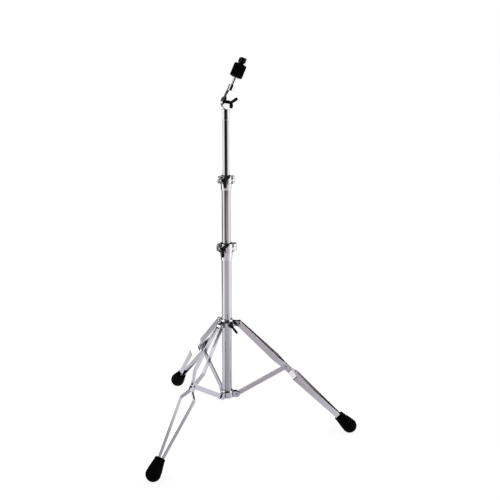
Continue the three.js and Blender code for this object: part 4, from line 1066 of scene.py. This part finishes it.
base_room = pillar(disc_room, disc_room_start, disc_room_end, sides=96)
combined(arm, "DIFFERENCE", moved(base_room, about("Y", 90)))
combined(arm, "DIFFERENCE", pillar(rod_bore, rod_stop, past_arm, sides=48))
soft_edged(arm, arm_edges)
settle(arm, rod_way, chromed_casting, "tilter_arm", "chromed_steel", "tilter_arm")
keep("tilter_nut", chromed_steel)

# Cymbal rod and sleeve
# An 8 mm steel rod, plated, pressed into the arm and threaded at its top for the wing nut. A nylon sleeve
# with a seat flange keeps the cymbal off the metal.
rod_radius, rod_foot, rod_top = 4, 27, 126.6
rod_outline = [(0, rod_foot), (rod_radius, rod_foot, 0.5), (rod_radius, rod_top, 1.0), (0, rod_top)]
rod = turned("cymbal_rod_plated", rod_outline, 64)
settle(crisp(rod), rod_way, chromed_steel, "tilter_arm", "chromed_steel", "cymbal_rod")
keep("cymbal_sleeve", nylon)

# Felts
# Two thick washers of black wool felt, cut from sheet, which hold the cymbal between them. The seat below
# and the nut above press into them, so that their rims stand a little proud.
felt_hole, felt_radius, felt_height = 6.7, 17.6, 15.6
rim_radius, rim_inside, seat_edge, crown_edge, crown_inside, side_ease = 17.4, 11.8, 11.4, 14, 8, 5

# Pressed wool is a dense mat of short fibres, which drinks the light and has no gloss
fibre_size, cloud_size, fibre_relief = 1.1, 8, 0.5 * metres
felt = bpy.data.materials.new("black wool felt, pressed")
tree = bare_tree(felt)
where = add(tree, "ShaderNodeTexCoord").outputs["Object"]
tangle = {"Vector": where, "Scale": per_mm / fibre_size, "Detail": 6.0, "Distortion": 1.6}
fibre = add(tree, "ShaderNodeTexNoise", tangle).outputs[0]
clouding = {"Vector": where, "Scale": per_mm / cloud_size, "Detail": 3.0}
cloud = add(tree, "ShaderNodeTexNoise", clouding).outputs[0]
shades = {"Factor": fibre, 6: colour("#010101"), 7: colour("#070707")}
tone = add(tree, "ShaderNodeMix", shades, data_type="RGBA").outputs[2]
height = add(tree, "ShaderNodeMath", {0: fibre, 1: cloud}, operation="ADD").outputs[0]
bump = add(tree, "ShaderNodeBump", {"Height": height, "Strength": 0.7, "Distance": fibre_relief}).outputs[0]
wool = {"Base Color": tone, "Roughness": 0.95, "Specular IOR Level": 0.03, "Sheen Weight": 0.012}
shader = add(tree, "ShaderNodeBsdfPrincipled", {**wool, "Normal": bump}).outputs[0]
add(tree, "ShaderNodeOutputMaterial", {"Surface": shader})
for name, bottom, low_rim, high_rim in (("lower_felt", 75.8, -1.6, 0), ("upper_felt", 91.7, 0, 1.5)):
    top = bottom + felt_height
    low_edge, high_edge = bottom + low_rim, top + high_rim
    pad_outline = [(felt_hole, bottom + 0.3, 0.5), (seat_edge, bottom), (rim_inside, low_edge, 0.1)]
    pad_outline += [(rim_radius, low_edge, 1), (felt_radius, bottom + side_ease)]
    pad_outline += [(felt_radius, top - side_ease), (rim_radius, high_edge, 1.2)]
    pad_outline += [(crown_edge, high_edge, 1.5), (crown_inside, top, 2), (felt_hole, top - 0.3, 0.5)]
    pad = turned(name + "_washer", pad_outline, 128)
    settle(crisp(pad, 50), rod_way, felt, "tilter_arm", "black_felt", name)

# Wing nut
# The cast nut on top of the rod: a waisted hub and two upright wings, in the same black as the screws.
nut_bore, nut_waist, nut_hub, nut_top, nut_edges = 4.3, 5.6, 7, 21.3, 0.7
blade_foot, blade_low, blade_high, blade_half = 6, 11.6, 11.2, 2.4
nut_seat, nut_turn = 107.6, 10
hub_outline = [(nut_bore, 0), (nut_waist, 0, 0.3), (nut_waist, 2.2, 1.0), (nut_hub, 3.6, 1.2)]
hub_outline += [(nut_hub, nut_top, 1.2), (nut_bore, nut_top, 0.4)]
nut = turned("top_wing_nut_casting", hub_outline, 64)
blade = [(-blade_foot, 4.5), (blade_foot, 4.5), (blade_low, 8.5, 2), (blade_high, nut_top, 1.2)]
blade += [(-blade_high, nut_top, 1.2), (-blade_low, 8.5, 2)]
combined(nut, "UNION", plate("blade", blade, -blade_half, blade_half))
combined(nut, "DIFFERENCE", pillar(nut_bore, -2, 24, sides=48))
soft_edged(nut, nut_edges)
nut_at = rod_way @ shift(z=nut_seat) @ about("Z", nut_turn)
settle(nut, nut_at, black_gloss, "wing_nut", "black_metal", "top_wing_nut")

boxes = {"cad": cad_box, "visual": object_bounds()}
